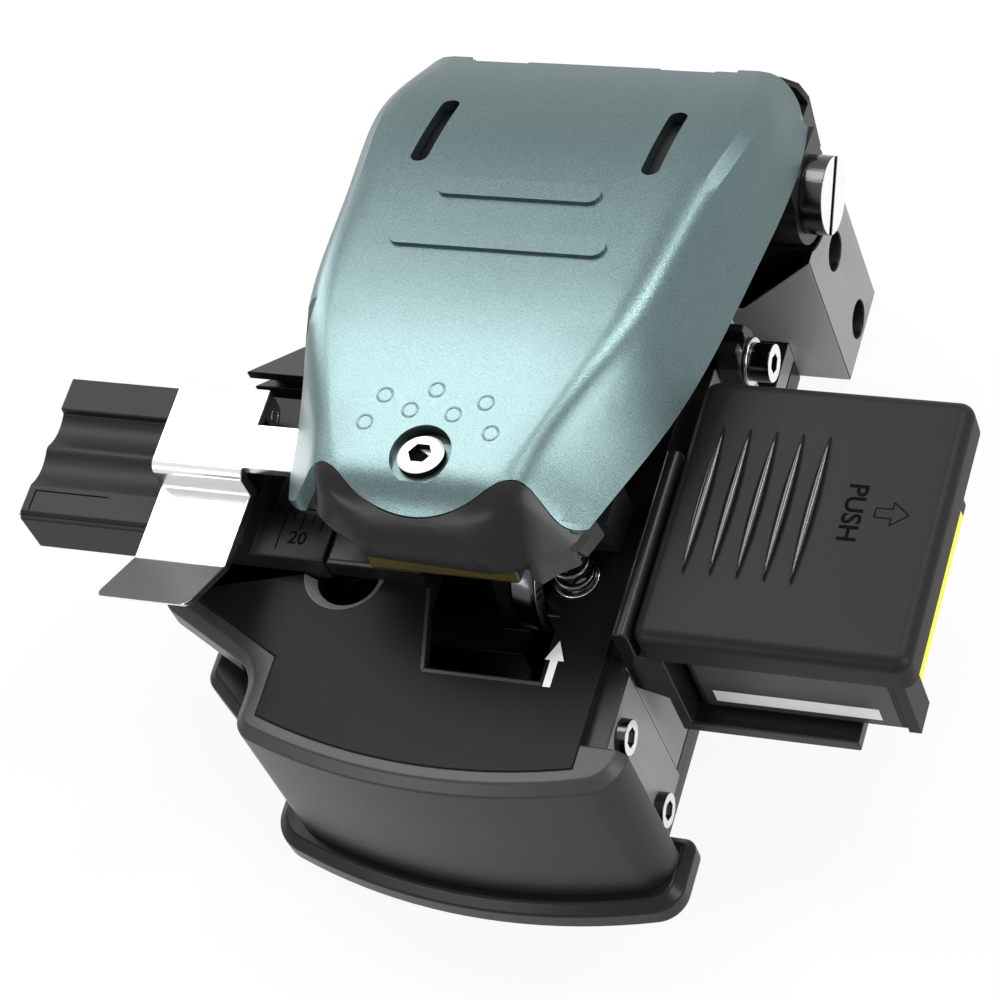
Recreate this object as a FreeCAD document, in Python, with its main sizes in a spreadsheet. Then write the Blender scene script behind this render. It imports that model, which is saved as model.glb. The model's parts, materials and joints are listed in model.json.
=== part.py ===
import FreeCAD, Part

# Fibre cleaver: a hinged arm over a base with a sliding score wheel, a fibre clamp and a waste bin.
# Millimetres, +X right, +Y back, +Z up.  The origin lies on the ground in the arm's centre plane.
# The arm and all it carries are modelled closed and level, then swung open about the rear pivot.
import math
import os

import Sketcher
from FreeCAD import Placement, Rotation, Vector

doc = FreeCAD.newDocument("fibre_cleaver")

# ---------------------------------------------------------------- driving sizes
SIZES = {
    # ground, sole and base
    "sole_drop": (0.6, "how far the rubber sole stands below the foot plate"),
    "sole_inlay": (0.8, "how deep the rubber sole is let into the foot plate"),
    "sole_half": (17.0, "half width of the rubber sole"),
    "sole_front": (-34.0, "front edge of the rubber sole"),
    "sole_back": (36.0, "rear edge of the rubber sole"),
    "foot_plate_top": (4.5, "height of the foot plate's upper face"),
    "toe_reach": (2.1, "how far the foot plate stands out in front of the bumper"),
    "toe_left": (-27.4, "left end of the toe"),
    "toe_right": (24.9, "right end of the toe"),
    "toe_back": (-27.0, "where the toe ends on the sides"),
    "deck_height": (30.0, "height of the deck"),
    "deck_thickness": (1.5, "thickness of the deck plate"),
    "bow_radius": (74.7, "radius of the bowed front, seen from above"),
    "bow_centre_x": (1.5, "centre of the bow across the base"),
    "bow_centre_y": (37.2, "centre of the bow along the base"),
    "core_left": (-20.7, "left wall of the base block"),
    "core_right": (20.4, "right wall of the base block"),
    "core_front": (-29.8, "front face of the base block"),
    "base_back": (52.4, "rear face of the base"),
    "land_depth": (0.6, "how far the screw land stands out of the right wall"),
    "land_back": (-19.3, "rear end of the screw land"),
    "cover_left": (-23.6, "left side of the bumper"),
    "cover_right": (23.8, "right side of the bumper"),
    "rim": (1.5, "flat width of the rim round the deck"),
    "bevel": (1.2, "bevel round the rim and the foot plate"),
    "wing_left": (-37.9, "left side of the wing"),
    "wing_back": (12.4, "rear end of the wing"),
    "wing_corner_y": (-18.0, "front corner of the wing"),
    "wing_side_end": (8.6, "where the wing's left side turns inwards"),
    "wing_shoulder": (-27.9, "left end of the wing's rear edge"),
    "notch_y": (-25.2, "inner corner between the wing and the bumper"),
    "wing_thickness": (4.5, "thickness of the wing"),
    "ledge_top": (20.0, "height of the lower ledge under the wing"),
    "ledge_thickness": (5.0, "thickness of the lower ledge"),
    "ledge_left": (-34.4, "left side of the lower ledge"),
    "deck_back": (24.0, "rear end of the deck plate"),
    "well_left": (11.6, "left wall of the open corner in front of the tower"),
    "well_front": (29.0, "front wall of the open corner in front of the tower"),
    "well_floor": (8.0, "floor of the open corner in front of the tower"),
    "finger_x": (-15.9, "finger hole across the base"),
    "finger_y": (-11.6, "finger hole along the base"),
    "finger_radius": (3.8, "radius of the finger hole"),
    "finger_ring": (1.2, "width of the bevelled ring round the finger hole"),
    "finger_depth": (6.0, "depth of the finger hole below the deck's seat"),
    # hinge
    "pivot_y": (45.4, "arm pivot along the base"),
    "pivot_z": (30.6, "arm pivot above the ground"),
    "pin_radius": (2.5, "radius of the arm's hinge pin"),
    "pin_gap": (0.05, "running clearance round a hinge pin"),
    "ear_inset": (0.3, "how far an ear stands back from the tower's side"),
    "ear_width": (6.7, "thickness of an ear"),
    "ear_radius": (6.0, "radius of an ear round the pin"),
    "cradle_gap": (0.8, "clearance of the cradle round an ear"),
    "tower_half": (26.9, "half width of the hinge tower"),
    "tower_front": (39.0, "front face of the hinge tower"),
    "tower_top": (25.8, "height of the tower's front edge"),
    "tower_slope": (10.9, "drop of the slanted edge on the tower's front"),
    "tower_step": (2.4, "depth of the slanted step in the tower's front"),
    "pin_head_radius": (4.75, "radius of the slotted pin head"),
    "pin_head_length": (2.8, "thickness of the slotted pin head"),
    "pin_slot": (1.1, "width of the screwdriver slot"),
    "side_hole_radius": (2.4, "radius of the two holes in the tower's sides"),
    "side_hole_depth": (8.0, "depth of the holes in the tower's sides"),
    "side_hole_low": (3.9, "height of the lower side hole"),
    "side_hole_high": (18.3, "height of the upper side hole"),
    # arm, closed
    "open_angle": (8.0, "angle between the open and the closed arm"),
    "arm_rise": (0.6, "height of the cover's lower edge above the fibre line, arm closed"),
    "frame_rise": (0.25, "height of the arm frame's underside above the fibre line"),
    "lip_drop": (0.8, "how far the lip reaches below the fibre line"),
    "skirt_drop": (1.4, "how far the skirt on the right reaches below the lip"),
    "ridge_radius": (4.2, "rounding of the ridge between the top and the sides"),
    "cover_wall": (1.4, "wall of the cover"),
    "skin_gap": (0.12, "gap between the cover and the frame inside it"),
    "nose_length": (8.7, "length of the rounded nose in front of the brow"),
    "nose_half": (5.0, "half width of the nose's blunt end"),
    "relief_x": (-19.2, "side of the relief that clears the clamp's tongue"),
    "relief_front": (-9.2, "front end of the relief"),
    "relief_back": (8.6, "rear end of the relief"),
    "corner_radius": (4.0, "rounding of the cover's rear corners, seen from above"),
    "strip_half": (17.2, "half width of the black strip along the rear edge"),
    "strip_depth": (0.8, "depth of the black strip along the rear edge"),
    "strip_sink": (0.95, "how far the black strip stays below the cover"),
    "rear_plate_top": (3.3, "how far the frame's rear plate reaches above the cover's edge"),
    "rear_plate_depth": (0.9, "how far the frame's rear plate stands behind the cover"),
    "cheek_drop": (1.9, "how far the frame's cheeks reach below the pivot, behind the ears"),
    "cover_screw_y": (-11.1, "place of the cover screw"),
    "screw_sink": (1.1, "depth of the cover screw's seat"),
    "cover_screw_head": (2.7, "radius of the cover screw's head"),
    "cover_screw_well": (3.6, "radius of the dished seat round the cover screw"),
    "bar_raise": (0.45, "height of the grip bars"),
    "front_bar_y": (18.0, "place of the long grip bar"),
    "front_bar_length": (26.5, "length of the long grip bar"),
    "rear_bar_y": (26.2, "place of the short grip bar"),
    "rear_bar_length": (20.2, "length of the short grip bar"),
    "bar_width": (2.9, "width of a grip bar"),
    "slot_x": (14.4, "distance of the cooling slots from the centre plane"),
    "slot_y": (36.4, "middle of the slots"),
    "slot_length": (12.2, "length of a slot"),
    "slot_width": (2.2, "width of a slot"),
    # cutting mechanism
    "fibre_height": (36.0, "height of the fibre line"),
    "fibre_y": (-2.3, "place of the fibre line"),
    "channel_left": (-8.0, "left wall of the carriage channel"),
    "channel_right": (9.2, "right wall of the carriage channel"),
    "channel_front": (-22.6, "front wall of the carriage channel"),
    "channel_spare": (10.4, "room behind the carriage at the end of its travel"),
    "channel_floor": (9.0, "floor of the carriage channel"),
    "rail_width": (7.0, "width of the guide rail"),
    "rail_height": (5.0, "height of the guide rail"),
    "slide_gap": (0.1, "running clearance of the carriage on its rail"),
    "carriage_length": (18.0, "length of the carriage"),
    "carriage_travel": (14.0, "travel of the carriage"),
    "wheel_radius": (8.0, "radius of the score wheel"),
    "wheel_width": (3.4, "thickness of the score wheel"),
    "wheel_x": (5.4, "left face of the score wheel"),
    "wheel_y": (-6.4, "axis of the score wheel, carriage at the front"),
    "wheel_gap": (0.15, "how far the wheel's rim stays under the fibre line"),
    "axle_radius": (1.5, "radius of the wheel's axle screw"),
    # clamp
    "sheet": (1.4, "thickness of the clamp plate"),
    "clamp_left": (-38.7, "left side of the clamp plate"),
    "clamp_right": (-27.0, "right side of the clamp plate"),
    "clamp_step": (5.5, "height of the clamp's upper plate above the fibre line"),
    "clamp_back": (5.0, "rear edge of the upper plate"),
    "clamp_step_y": (-7.0, "front of the step between the two plates"),
    "clamp_lower_front": (-16.7, "front end of the lower plate"),
    "clamp_tab_front": (-25.2, "front end of the lifting tab"),
    "clamp_tab_rise": (5.6, "rise of the lifting tab"),
    "tongue_end": (-19.6, "right end of the clamp's tongue"),
    "tongue_front": (-5.7, "front edge of the tongue"),
    "tongue_back": (0.2, "rear edge of the tongue"),
    "clamp_axis_y": (3.4, "clamp hinge along the base"),
    "clamp_axis_rise": (2.4, "height of the clamp hinge above the fibre line"),
    "clamp_pin_radius": (0.8, "radius of the clamp's hinge pin"),
    # holder
    "holder_left": (-56.6, "left end of the fibre holder"),
    "holder_right": (-17.6, "right end of the fibre holder"),
    "holder_front": (-12.2, "front face of the fibre holder"),
    "holder_back": (7.5, "rear face of the fibre holder"),
    "holder_seat": (29.0, "height of the holder's seat"),
    "guide_radius": (5.0, "radius of the holder's two hollow guides"),
    # waste bin
    "bin_front": (-19.2, "front face of the bin lid"),
    "bin_back": (15.2, "rear face of the bin lid"),
    "bin_left": (22.7, "left end of the bin lid"),
    "bin_right": (54.3, "right end of the bin lid"),
    "bin_top": (36.2, "height of the bin lid"),
    "skirt_bottom": (31.5, "lower edge of the lid's skirt"),
    "bin_wall": (1.5, "wall of the bin"),
    "tray_front": (-16.6, "front face of the tray"),
    "tray_back": (12.9, "rear face of the tray"),
    "tray_left": (26.2, "left face of the tray"),
    "tray_right": (50.4, "right face of the tray"),
    "shelf_top": (17.1, "upper face of the bin bracket's shelf"),
    "shelf_bottom": (15.1, "underside of the bin bracket's shelf"),
    "lid_gap": (0.3, "gap between the lid and the tray"),
    "seat_gap": (0.3, "gap between a moving piece and its seat"),
}

# Arm form, closed: place of each section, half widths at the lower edge and at the ridge, and
# height of the top above the lower edge.
STATIONS = {
    "rear": (54.4, 25.2, 22.0, 5.0),
    "tail": (47.0, 26.5, 23.4, 8.0),
    "knee": (37.2, 26.8, 23.5, 10.5),
    "crest": (20.0, 25.5, 21.3, 11.7),
    "waist": (2.0, 22.7, 17.8, 11.0),
    "brow": (-10.4, 18.8, 12.7, 8.8),
}
NOSE_TURNS = (28.0, 48.0, 64.0, 77.0)
# Border between the cover and the lip, seen from above: half of it, from the middle outwards.
BORDER = ((0.0, -17.1), (4.2, -16.6), (7.2, -15.4), (9.4, -13.8), (12.0, -12.8), (14.2, -13.4),
          (15.9, -13.9), (17.6, -13.0), (19.2, -10.8), (30.0, -6.0))
# How far the arm's sections run past its top and its underside before they are trimmed.
ROOF = 3.0
BELOW = 4.0
for station, numbers in STATIONS.items():
    for part, number in zip(("y", "edge", "ridge", "height"), numbers):
        SIZES["%s_%s" % (station, part)] = (number, "arm form at the " + station)

sheet = doc.addObject("Spreadsheet::Sheet", "Sizes")
for row, (alias, (number, meaning)) in enumerate(SIZES.items(), start=1):
    sheet.set("A%d" % row, alias)
    sheet.set("B%d" % row, str(number))
    sheet.setAlias("B%d" % row, alias)
    sheet.set("C%d" % row, meaning)
doc.recompute()


class Size:
    """A number together with the expression that ties a feature to the sheet."""

    def __init__(self, number, text=None):
        self.number = float(number)
        self.text = text if text else "%.9g" % number

    def join(self, other, sign, result):
        return Size(result, "(%s %s %s)" % (self.text, sign, other.text))

    def __add__(self, other):
        other = size(other)
        return self.join(other, "+", self.number + other.number)

    def __radd__(self, other):
        return size(other) + self

    def __sub__(self, other):
        other = size(other)
        return self.join(other, "-", self.number - other.number)

    def __rsub__(self, other):
        return size(other) - self

    def __mul__(self, other):
        other = size(other)
        return self.join(other, "*", self.number * other.number)

    def __rmul__(self, other):
        return size(other) * self

    def __truediv__(self, other):
        other = size(other)
        return self.join(other, "/", self.number / other.number)

    def __neg__(self):
        return Size(-self.number, "(-%s)" % self.text)

    def __float__(self):
        return self.number


def size(value):
    return value if isinstance(value, Size) else Size(value)


def root(value):
    return Size(math.sqrt(value.number), "sqrt(%s)" % value.text)


def sine(angle):
    return Size(math.sin(math.radians(angle.number)), "sin(%s * 1 deg)" % angle.text)


def cosine(angle):
    return Size(math.cos(math.radians(angle.number)), "cos(%s * 1 deg)" % angle.text)


class Sheet:
    """The sheet's cells by alias, so that S.rim reads like the size that it is."""

    def __getattr__(self, alias):
        return Size(float(sheet.get(alias)), "Sizes." + alias)


S = Sheet()


def bind(target, name, value):
    """Tie one property to a size."""
    target.setExpression(name, size(value).text)


# ---------------------------------------------------------------- sketches and bodies
def locate(points):
    """Corners as plain vectors."""
    return [Vector(float(size(x)), float(size(y)), 0) for x, y in points]


def arc_middle(start, end, radius):
    """Middle of the short arc from start to end; a positive radius bulges to the right."""
    chord = end - start
    half = chord.Length / 2
    rise = abs(radius) - math.sqrt(radius * radius - half * half)
    side = Vector(chord.y, -chord.x, 0).normalize() * math.copysign(rise, radius)
    return (start + end) * 0.5 + side


class Piece:
    """A PartDesign body made of outlines that are padded, pocketed, bevelled and rounded."""

    def __init__(self, label):
        self.body = doc.addObject("PartDesign::Body", label)
        self.body.Label = label
        self.steps = 0

    def sketch(self, plane, level):
        self.steps += 1
        role = {"xy": "XY_Plane", "yz": "YZ_Plane", "xz": "XZ_Plane"}[plane]
        origin = [f for f in self.body.Origin.OriginFeatures if f.Role == role][0]
        drawing = self.body.newObject("Sketcher::SketchObject", "Outline")
        drawing.AttachmentSupport = [(origin, "")]
        drawing.MapMode = "FlatFace"
        level = size(level)
        drawing.AttachmentOffset = Placement(Vector(0, 0, level.number), Rotation())
        bind(drawing, ".AttachmentOffset.Base.z", level)
        return drawing

    def outline(self, plane, level, points, arcs=None):
        """Closed outline; arcs gives the radius of the edge that starts at a corner."""
        arcs = arcs or {}
        drawing = self.sketch(plane, level)
        corners = locate(points)
        count = len(corners)
        for i, start in enumerate(corners):
            end = corners[(i + 1) % count]
            if i in arcs:
                middle = arc_middle(start, end, float(size(arcs[i])))
                drawing.addGeometry(Part.Arc(start, middle, end), False)
            else:
                drawing.addGeometry(Part.LineSegment(start, end), False)
        ends = []
        for i in range(count):
            flipped = i in arcs and self.starts_far(drawing, i, corners[i])
            ends.append((2, 1) if flipped else (1, 2))
        for i in range(count):
            following = (i + 1) % count
            drawing.addConstraint(Sketcher.Constraint(
                "Coincident", i, ends[i][1], following, ends[following][0]))
        for i, (x, y) in enumerate(points):
            for kind, value in (("DistanceX", size(x)), ("DistanceY", size(y))):
                index = drawing.addConstraint(Sketcher.Constraint(
                    kind, -1, 1, i, ends[i][0], value.number))
                bind(drawing, "Constraints[%d]" % index, value)
        for i, radius in arcs.items():
            radius = size(radius)
            index = drawing.addConstraint(Sketcher.Constraint("Radius", i, abs(radius.number)))
            bind(drawing, "Constraints[%d]" % index,
                 radius if radius.number > 0 else -radius)
        return drawing

    @staticmethod
    def starts_far(drawing, index, corner):
        return (drawing.getPoint(index, 1) - corner).Length > 1e-6

    def circles(self, plane, level, places, radius):
        drawing = self.sketch(plane, level)
        for index, (x, y) in enumerate(places):
            x, y, radius = size(x), size(y), size(radius)
            drawing.addGeometry(Part.Circle(
                Vector(x.number, y.number, 0), Vector(0, 0, 1), radius.number), False)
            for kind, value in (("DistanceX", x), ("DistanceY", y)):
                number = drawing.addConstraint(Sketcher.Constraint(
                    kind, -1, 1, index, 3, value.number))
                bind(drawing, "Constraints[%d]" % number, value)
            number = drawing.addConstraint(Sketcher.Constraint("Radius", index, radius.number))
            bind(drawing, "Constraints[%d]" % number, radius)
        return drawing

    def extrude(self, kind, drawing, length):
        before = self.body.Shape.Volume if self.steps > 1 else 0.0
        feature = self.body.newObject("PartDesign::" + kind, kind)
        feature.Profile = drawing
        feature.Length = float(size(length))
        bind(feature, "Length", length)
        drawing.Visibility = False
        doc.recompute()
        change = self.body.Shape.Volume - before
        if change * (1 if kind == "Pad" else -1) <= 0:
            raise ValueError("%s: a %s changed nothing" % (self.body.Label, kind))
        return self

    def pad(self, plane, low, high, points, arcs=None):
        low, high = size(low), size(high)
        return self.extrude("Pad", self.outline(plane, low, points, arcs), high - low)

    def pocket(self, plane, low, high, points, arcs=None):
        low, high = size(low), size(high)
        return self.extrude("Pocket", self.outline(plane, high, points, arcs), high - low)

    def boss(self, plane, low, high, places, radius):
        low, high = size(low), size(high)
        return self.extrude("Pad", self.circles(plane, low, places, radius), high - low)

    def bore(self, plane, low, high, places, radius):
        low, high = size(low), size(high)
        return self.extrude("Pocket", self.circles(plane, high, places, radius), high - low)

    def dress(self, kind, amount, chosen):
        """Bevel or round the edges that the test picks."""
        doc.recompute()
        base = self.body.Tip
        names = ["Edge%d" % (i + 1) for i, edge in enumerate(base.Shape.Edges) if chosen(edge)]
        if not names:
            raise ValueError("%s: no edge to %s" % (self.body.Label, kind))
        feature = self.body.newObject("PartDesign::" + kind, kind)
        feature.Base = (base, names)
        prop = "Radius" if kind == "Fillet" else "Size"
        setattr(feature, prop, float(size(amount)))
        bind(feature, prop, amount)
        doc.recompute()
        return self

    def bevel(self, amount, chosen):
        return self.dress("Chamfer", amount, chosen)

    def round(self, amount, chosen):
        return self.dress("Fillet", amount, chosen)


def rectangle(left, right, front, back):
    return [(left, front), (right, front), (right, back), (left, back)]


def upright(x, y, tolerance=0.4):
    """Picks the vertical edge at a plan position."""
    def chosen(edge):
        box = edge.BoundBox
        middle = box.Center
        near = abs(middle.x - float(size(x))) < tolerance and abs(middle.y - float(size(y))) < tolerance
        return near and box.ZLength > 1.0 and box.XLength + box.YLength < 0.01
    return chosen


def any_of(*tests):
    return lambda edge: any(test(edge) for test in tests)


def at_height(height, inside=None):
    """Picks level edges at a height, within the plan window (left, right, front, back)."""
    def chosen(edge):
        box = edge.BoundBox
        if box.ZLength > 0.01 or abs(box.Center.z - float(size(height))) > 0.01:
            return False
        if inside is None:
            return True
        left, right, front, back = [float(size(v)) for v in inside]
        centre = edge.CenterOfMass
        return left < centre.x < right and front < centre.y < back
    return chosen


# ---------------------------------------------------------------- primitives
def place(thing, x, y, z, axis=(0, 0, 1), angle=0.0):
    x, y, z = size(x), size(y), size(z)
    thing.Placement = Placement(Vector(x.number, y.number, z.number), Rotation(Vector(*axis), angle))
    for name, value in (("x", x), ("y", y), ("z", z)):
        bind(thing, "Placement.Base." + name, value)
    return thing


def block(name, left, right, front, back, bottom, top):
    thing = doc.addObject("Part::Box", name)
    bind(thing, "Length", size(right) - left)
    bind(thing, "Width", size(back) - front)
    bind(thing, "Height", size(top) - bottom)
    return place(thing, left, front, bottom)


def rod(name, axis, radius, low, high, first, second):
    """Cylinder along an axis from low to high; first and second place it across the axis."""
    thing = doc.addObject("Part::Cylinder", name)
    bind(thing, "Radius", radius)
    bind(thing, "Height", size(high) - low)
    if axis == "x":
        return place(thing, low, first, second, (0, 1, 0), 90.0)
    if axis == "y":
        return place(thing, first, low, second, (1, 0, 0), -90.0)
    return place(thing, first, second, low)


def cone(name, axis, near, far, low, high, first, second):
    thing = doc.addObject("Part::Cone", name)
    bind(thing, "Radius1", near)
    bind(thing, "Radius2", far)
    bind(thing, "Height", size(high) - low)
    if axis == "x":
        return place(thing, low, first, second, (0, 1, 0), 90.0)
    return place(thing, first, second, low)


def hexagon(name, axis, across, low, high, first, second):
    """Hexagonal prism, for a socket or a nut."""
    thing = doc.addObject("Part::Prism", name)
    thing.Polygon = 6
    bind(thing, "Circumradius", size(across) / math.sqrt(3))
    bind(thing, "Height", size(high) - low)
    if axis == "x":
        return place(thing, low, first, second, (0, 1, 0), 90.0)
    return place(thing, first, second, low)


def cut(name, base, *tools):
    for number, tool in enumerate(tools):
        result = doc.addObject("Part::Cut", "%s_cut%d" % (name, number))
        result.Base = base
        result.Tool = tool
        base = result
    base.Label = name
    return base


def join(name, *things):
    result = doc.addObject("Part::MultiFuse", name + "_joined")
    result.Shapes = list(things)
    result.Label = name
    return result


def group(name, *things):
    result = doc.addObject("Part::Compound", name + "_group")
    result.Links = list(things)
    result.Label = name
    return result


def coded(name, shape):
    """A shape that the sheet's sizes drive through this file's own code."""
    result = doc.addObject("Part::Feature", name)
    result.Label = name
    result.Shape = shape
    return result


def opened(thing):
    """Swing a piece that is modelled with the arm closed to the open arm."""
    angle = S.open_angle
    y = S.pivot_y - (cosine(angle) * S.pivot_y + sine(angle) * S.pivot_z)
    z = S.pivot_z - (cosine(angle) * S.pivot_z - sine(angle) * S.pivot_y)
    thing.Placement = Placement(
        Vector(0, y.number, z.number), Rotation(Vector(-1, 0, 0), angle.number))
    bind(thing, "Placement.Base.y", y)
    bind(thing, "Placement.Base.z", z)
    bind(thing, "Placement.Rotation.Angle", angle)
    return thing


NODES = []


def node(thing):
    """Keep one finished sub-part for the export."""
    NODES.append(thing.body if isinstance(thing, Piece) else thing)
    return thing


# ---------------------------------------------------------------- derived places
def bow(x, radius):
    """Where the bowed front lies at a distance across the base."""
    across = size(x) - S.bow_centre_x
    return S.bow_centre_y - root(radius * radius - across * across)


DECK_SEAT = S.deck_height - S.deck_thickness
MARGIN = S.rim + S.bevel
WING_SLOPE = (S.wing_corner_y - S.notch_y) / (S.wing_left - S.cover_left)
MARGIN_Y = MARGIN * (root(Size(1) + WING_SLOPE * WING_SLOPE) + WING_SLOPE)
WHEEL_Z = S.fibre_height - S.wheel_gap - S.wheel_radius
CHANNEL_BACK = S.wheel_y + S.carriage_length / 2 + S.carriage_travel + S.channel_spare
PIVOT = (S.pivot_y, S.pivot_z)
EAR_OUTER = S.tower_half - S.ear_inset
EAR_INNER = EAR_OUTER - S.ear_width
LUG_HALF = EAR_INNER - S.seat_gap
LUG_RADIUS = S.ear_radius + 0.5
ARM_EDGE = S.fibre_height + S.arm_rise
FRAME_BOTTOM = S.fibre_height + S.frame_rise
LIP_BOTTOM = S.fibre_height - S.lip_drop
CLAMP_UPPER = S.fibre_height + S.clamp_step
CLAMP_AXIS = (S.clamp_axis_y, S.fibre_height + S.clamp_axis_rise)
SIDE_SCREWS = [(Size(-26.1), Size(25.7)), (Size(-26.1), Size(8.2))]
PLATE_SCREWS = [(Size(x), Size(y)) for x in (-12.0, 12.0) for y in (-24.5, 30.5)]
LATCH_AXIS = (Size(24.0), Size(26.4))
SPRING_PLACE = (Size(12.2), Size(-9.2))
SPRING_WELL = Size(2.7)
SHANK = Size(1.5)
WINDOW_DEPTH = Size(4.0)
WINDOW_STEP = Size(2.3)
WINDOW_LENGTH = Size(9.0)
FINGER_HOLE = (S.finger_x, S.finger_y)
FIBRE_PAD_HALF = Size(3.0)
SHELL_FAR = 90.0


# ---------------------------------------------------------------- base
def make_sole():
    """Rubber sole, let into the foot plate, with holes for the plate screws."""
    sole = Piece("rubber_sole")
    sole.pad("xy", 0, S.sole_drop + S.sole_inlay, sole_outline())
    sole.round(4.0, any_of(*[upright(x, y) for x, y in sole_outline()]))
    sole.bore("xy", -1, S.sole_drop + S.sole_inlay + 1, PLATE_SCREWS, 3.4)
    return node(sole)


def sole_outline():
    return rectangle(-S.sole_half, S.sole_half, S.sole_front, S.sole_back)


def make_foot_plate():
    plate = Piece("foot_plate")
    reach = S.bow_radius + S.toe_reach
    plate.pad("xy", S.sole_drop, S.foot_plate_top, [
        (S.toe_left, bow(S.toe_left, reach)), (S.toe_right, bow(S.toe_right, reach)),
        (S.toe_right, S.toe_back), (S.core_right, S.toe_back),
        (S.core_right, S.tower_front), (S.core_left, S.tower_front),
        (S.core_left, S.toe_back), (S.toe_left, S.toe_back)], {0: reach})
    plate.round(5.0, upright(S.toe_left, bow(S.toe_left, reach)))
    plate.round(4.0, upright(S.toe_right, bow(S.toe_right, reach)))
    plate.round(1.5, any_of(upright(S.toe_left, S.toe_back), upright(S.toe_right, S.toe_back)))
    front = (-99, 99, -99, S.toe_back + 0.5)
    plate.bevel(S.bevel, at_height(S.foot_plate_top, front))
    plate.pocket("xy", S.sole_drop - 1, S.sole_drop + S.sole_inlay, sole_outline())
    plate.bore("xy", S.sole_drop, S.sole_drop + 2.6, PLATE_SCREWS, 2.75)
    return node(plate)


def make_foot_screws():
    screws = []
    for i, (x, y) in enumerate(PLATE_SCREWS):
        head = rod("plate_screw%d" % i, "z", 2.75, S.sole_drop + 0.9, S.sole_drop + 2.6, x, y)
        socket = hexagon("plate_socket%d" % i, "z", 2.5, S.sole_drop, S.sole_drop + 1.9, x, y)
        screws.append(cut("plate_screw_cut%d" % i, head, socket))
    return node(group("foot_screws", *screws))


def make_base():
    """Core with the carriage channel, and the hinge tower with its lug, cradles and side holes."""
    base = Piece("base_body")
    base.pad("xy", S.foot_plate_top, DECK_SEAT,
             rectangle(S.core_left, S.core_right, S.core_front, S.tower_front + 1))
    base.pad("xy", S.foot_plate_top, DECK_SEAT,
             rectangle(S.core_right - 1, S.core_right + S.land_depth, S.core_front, S.land_back))
    base.pad("xy", S.sole_drop, S.tower_top,
             rectangle(-S.tower_half, S.tower_half, S.tower_front, S.base_back))
    base.pad("yz", -LUG_HALF, LUG_HALF, rectangle(
        S.pivot_y - LUG_RADIUS, S.pivot_y + LUG_RADIUS, S.tower_top - 1, S.pivot_z))
    base.boss("yz", -LUG_HALF, LUG_HALF, [PIVOT], LUG_RADIUS)
    cradle = S.ear_radius + S.cradle_gap
    outside = S.tower_half + 1
    base.bore("yz", LUG_HALF, outside, [PIVOT], cradle)
    base.bore("yz", -outside, -LUG_HALF, [PIVOT], cradle)
    base.bore("yz", -LUG_HALF - 1, LUG_HALF + 1, [PIVOT], S.pin_radius + S.pin_gap)
    holes = [(S.pivot_y + 0.6, S.side_hole_low), (S.pivot_y + 0.6, S.side_hole_high)]
    base.bore("yz", S.tower_half - S.side_hole_depth, outside, holes, S.side_hole_radius)
    base.bore("yz", -outside, -S.tower_half + S.side_hole_depth, holes, S.side_hole_radius)
    base.pocket("xy", S.channel_floor, DECK_SEAT + 1, rectangle(
        S.channel_left, S.channel_right, S.channel_front, CHANNEL_BACK))
    base.pocket("xy", S.well_floor, DECK_SEAT + 1, rectangle(
        S.well_left, S.core_right + 1, S.well_front, S.tower_front))
    base.pocket("xz", -(S.tower_front + S.tower_step), -(S.tower_front - 1), [
        (S.tower_half, S.tower_top), (S.tower_half, S.tower_top + 1),
        (S.well_left, S.tower_top + 1), (S.well_left, S.tower_top - S.tower_slope),
        (S.tower_half - S.tower_slope, S.tower_top - S.tower_slope)])
    base.pocket("xy", DECK_SEAT - WINDOW_DEPTH, DECK_SEAT + 1, rectangle(
        S.channel_right - 1, S.channel_right + WINDOW_STEP, S.channel_front,
        S.channel_front + WINDOW_LENGTH))
    base.bore("xy", DECK_SEAT - WINDOW_DEPTH, DECK_SEAT + 1, [SPRING_PLACE], SPRING_WELL)
    base.bore("xy", DECK_SEAT - S.finger_depth, DECK_SEAT + 1, [FINGER_HOLE], S.finger_radius)
    base.bore("yz", S.core_right - 6, S.core_right + 2, SIDE_SCREWS, SHANK)
    base.bore("yz", S.core_right - 4, S.core_right + 2, [LATCH_AXIS], SHANK)
    base.bevel(S.land_depth * 0.8, upright(S.core_right + S.land_depth, S.land_back))
    return node(base)


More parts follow.
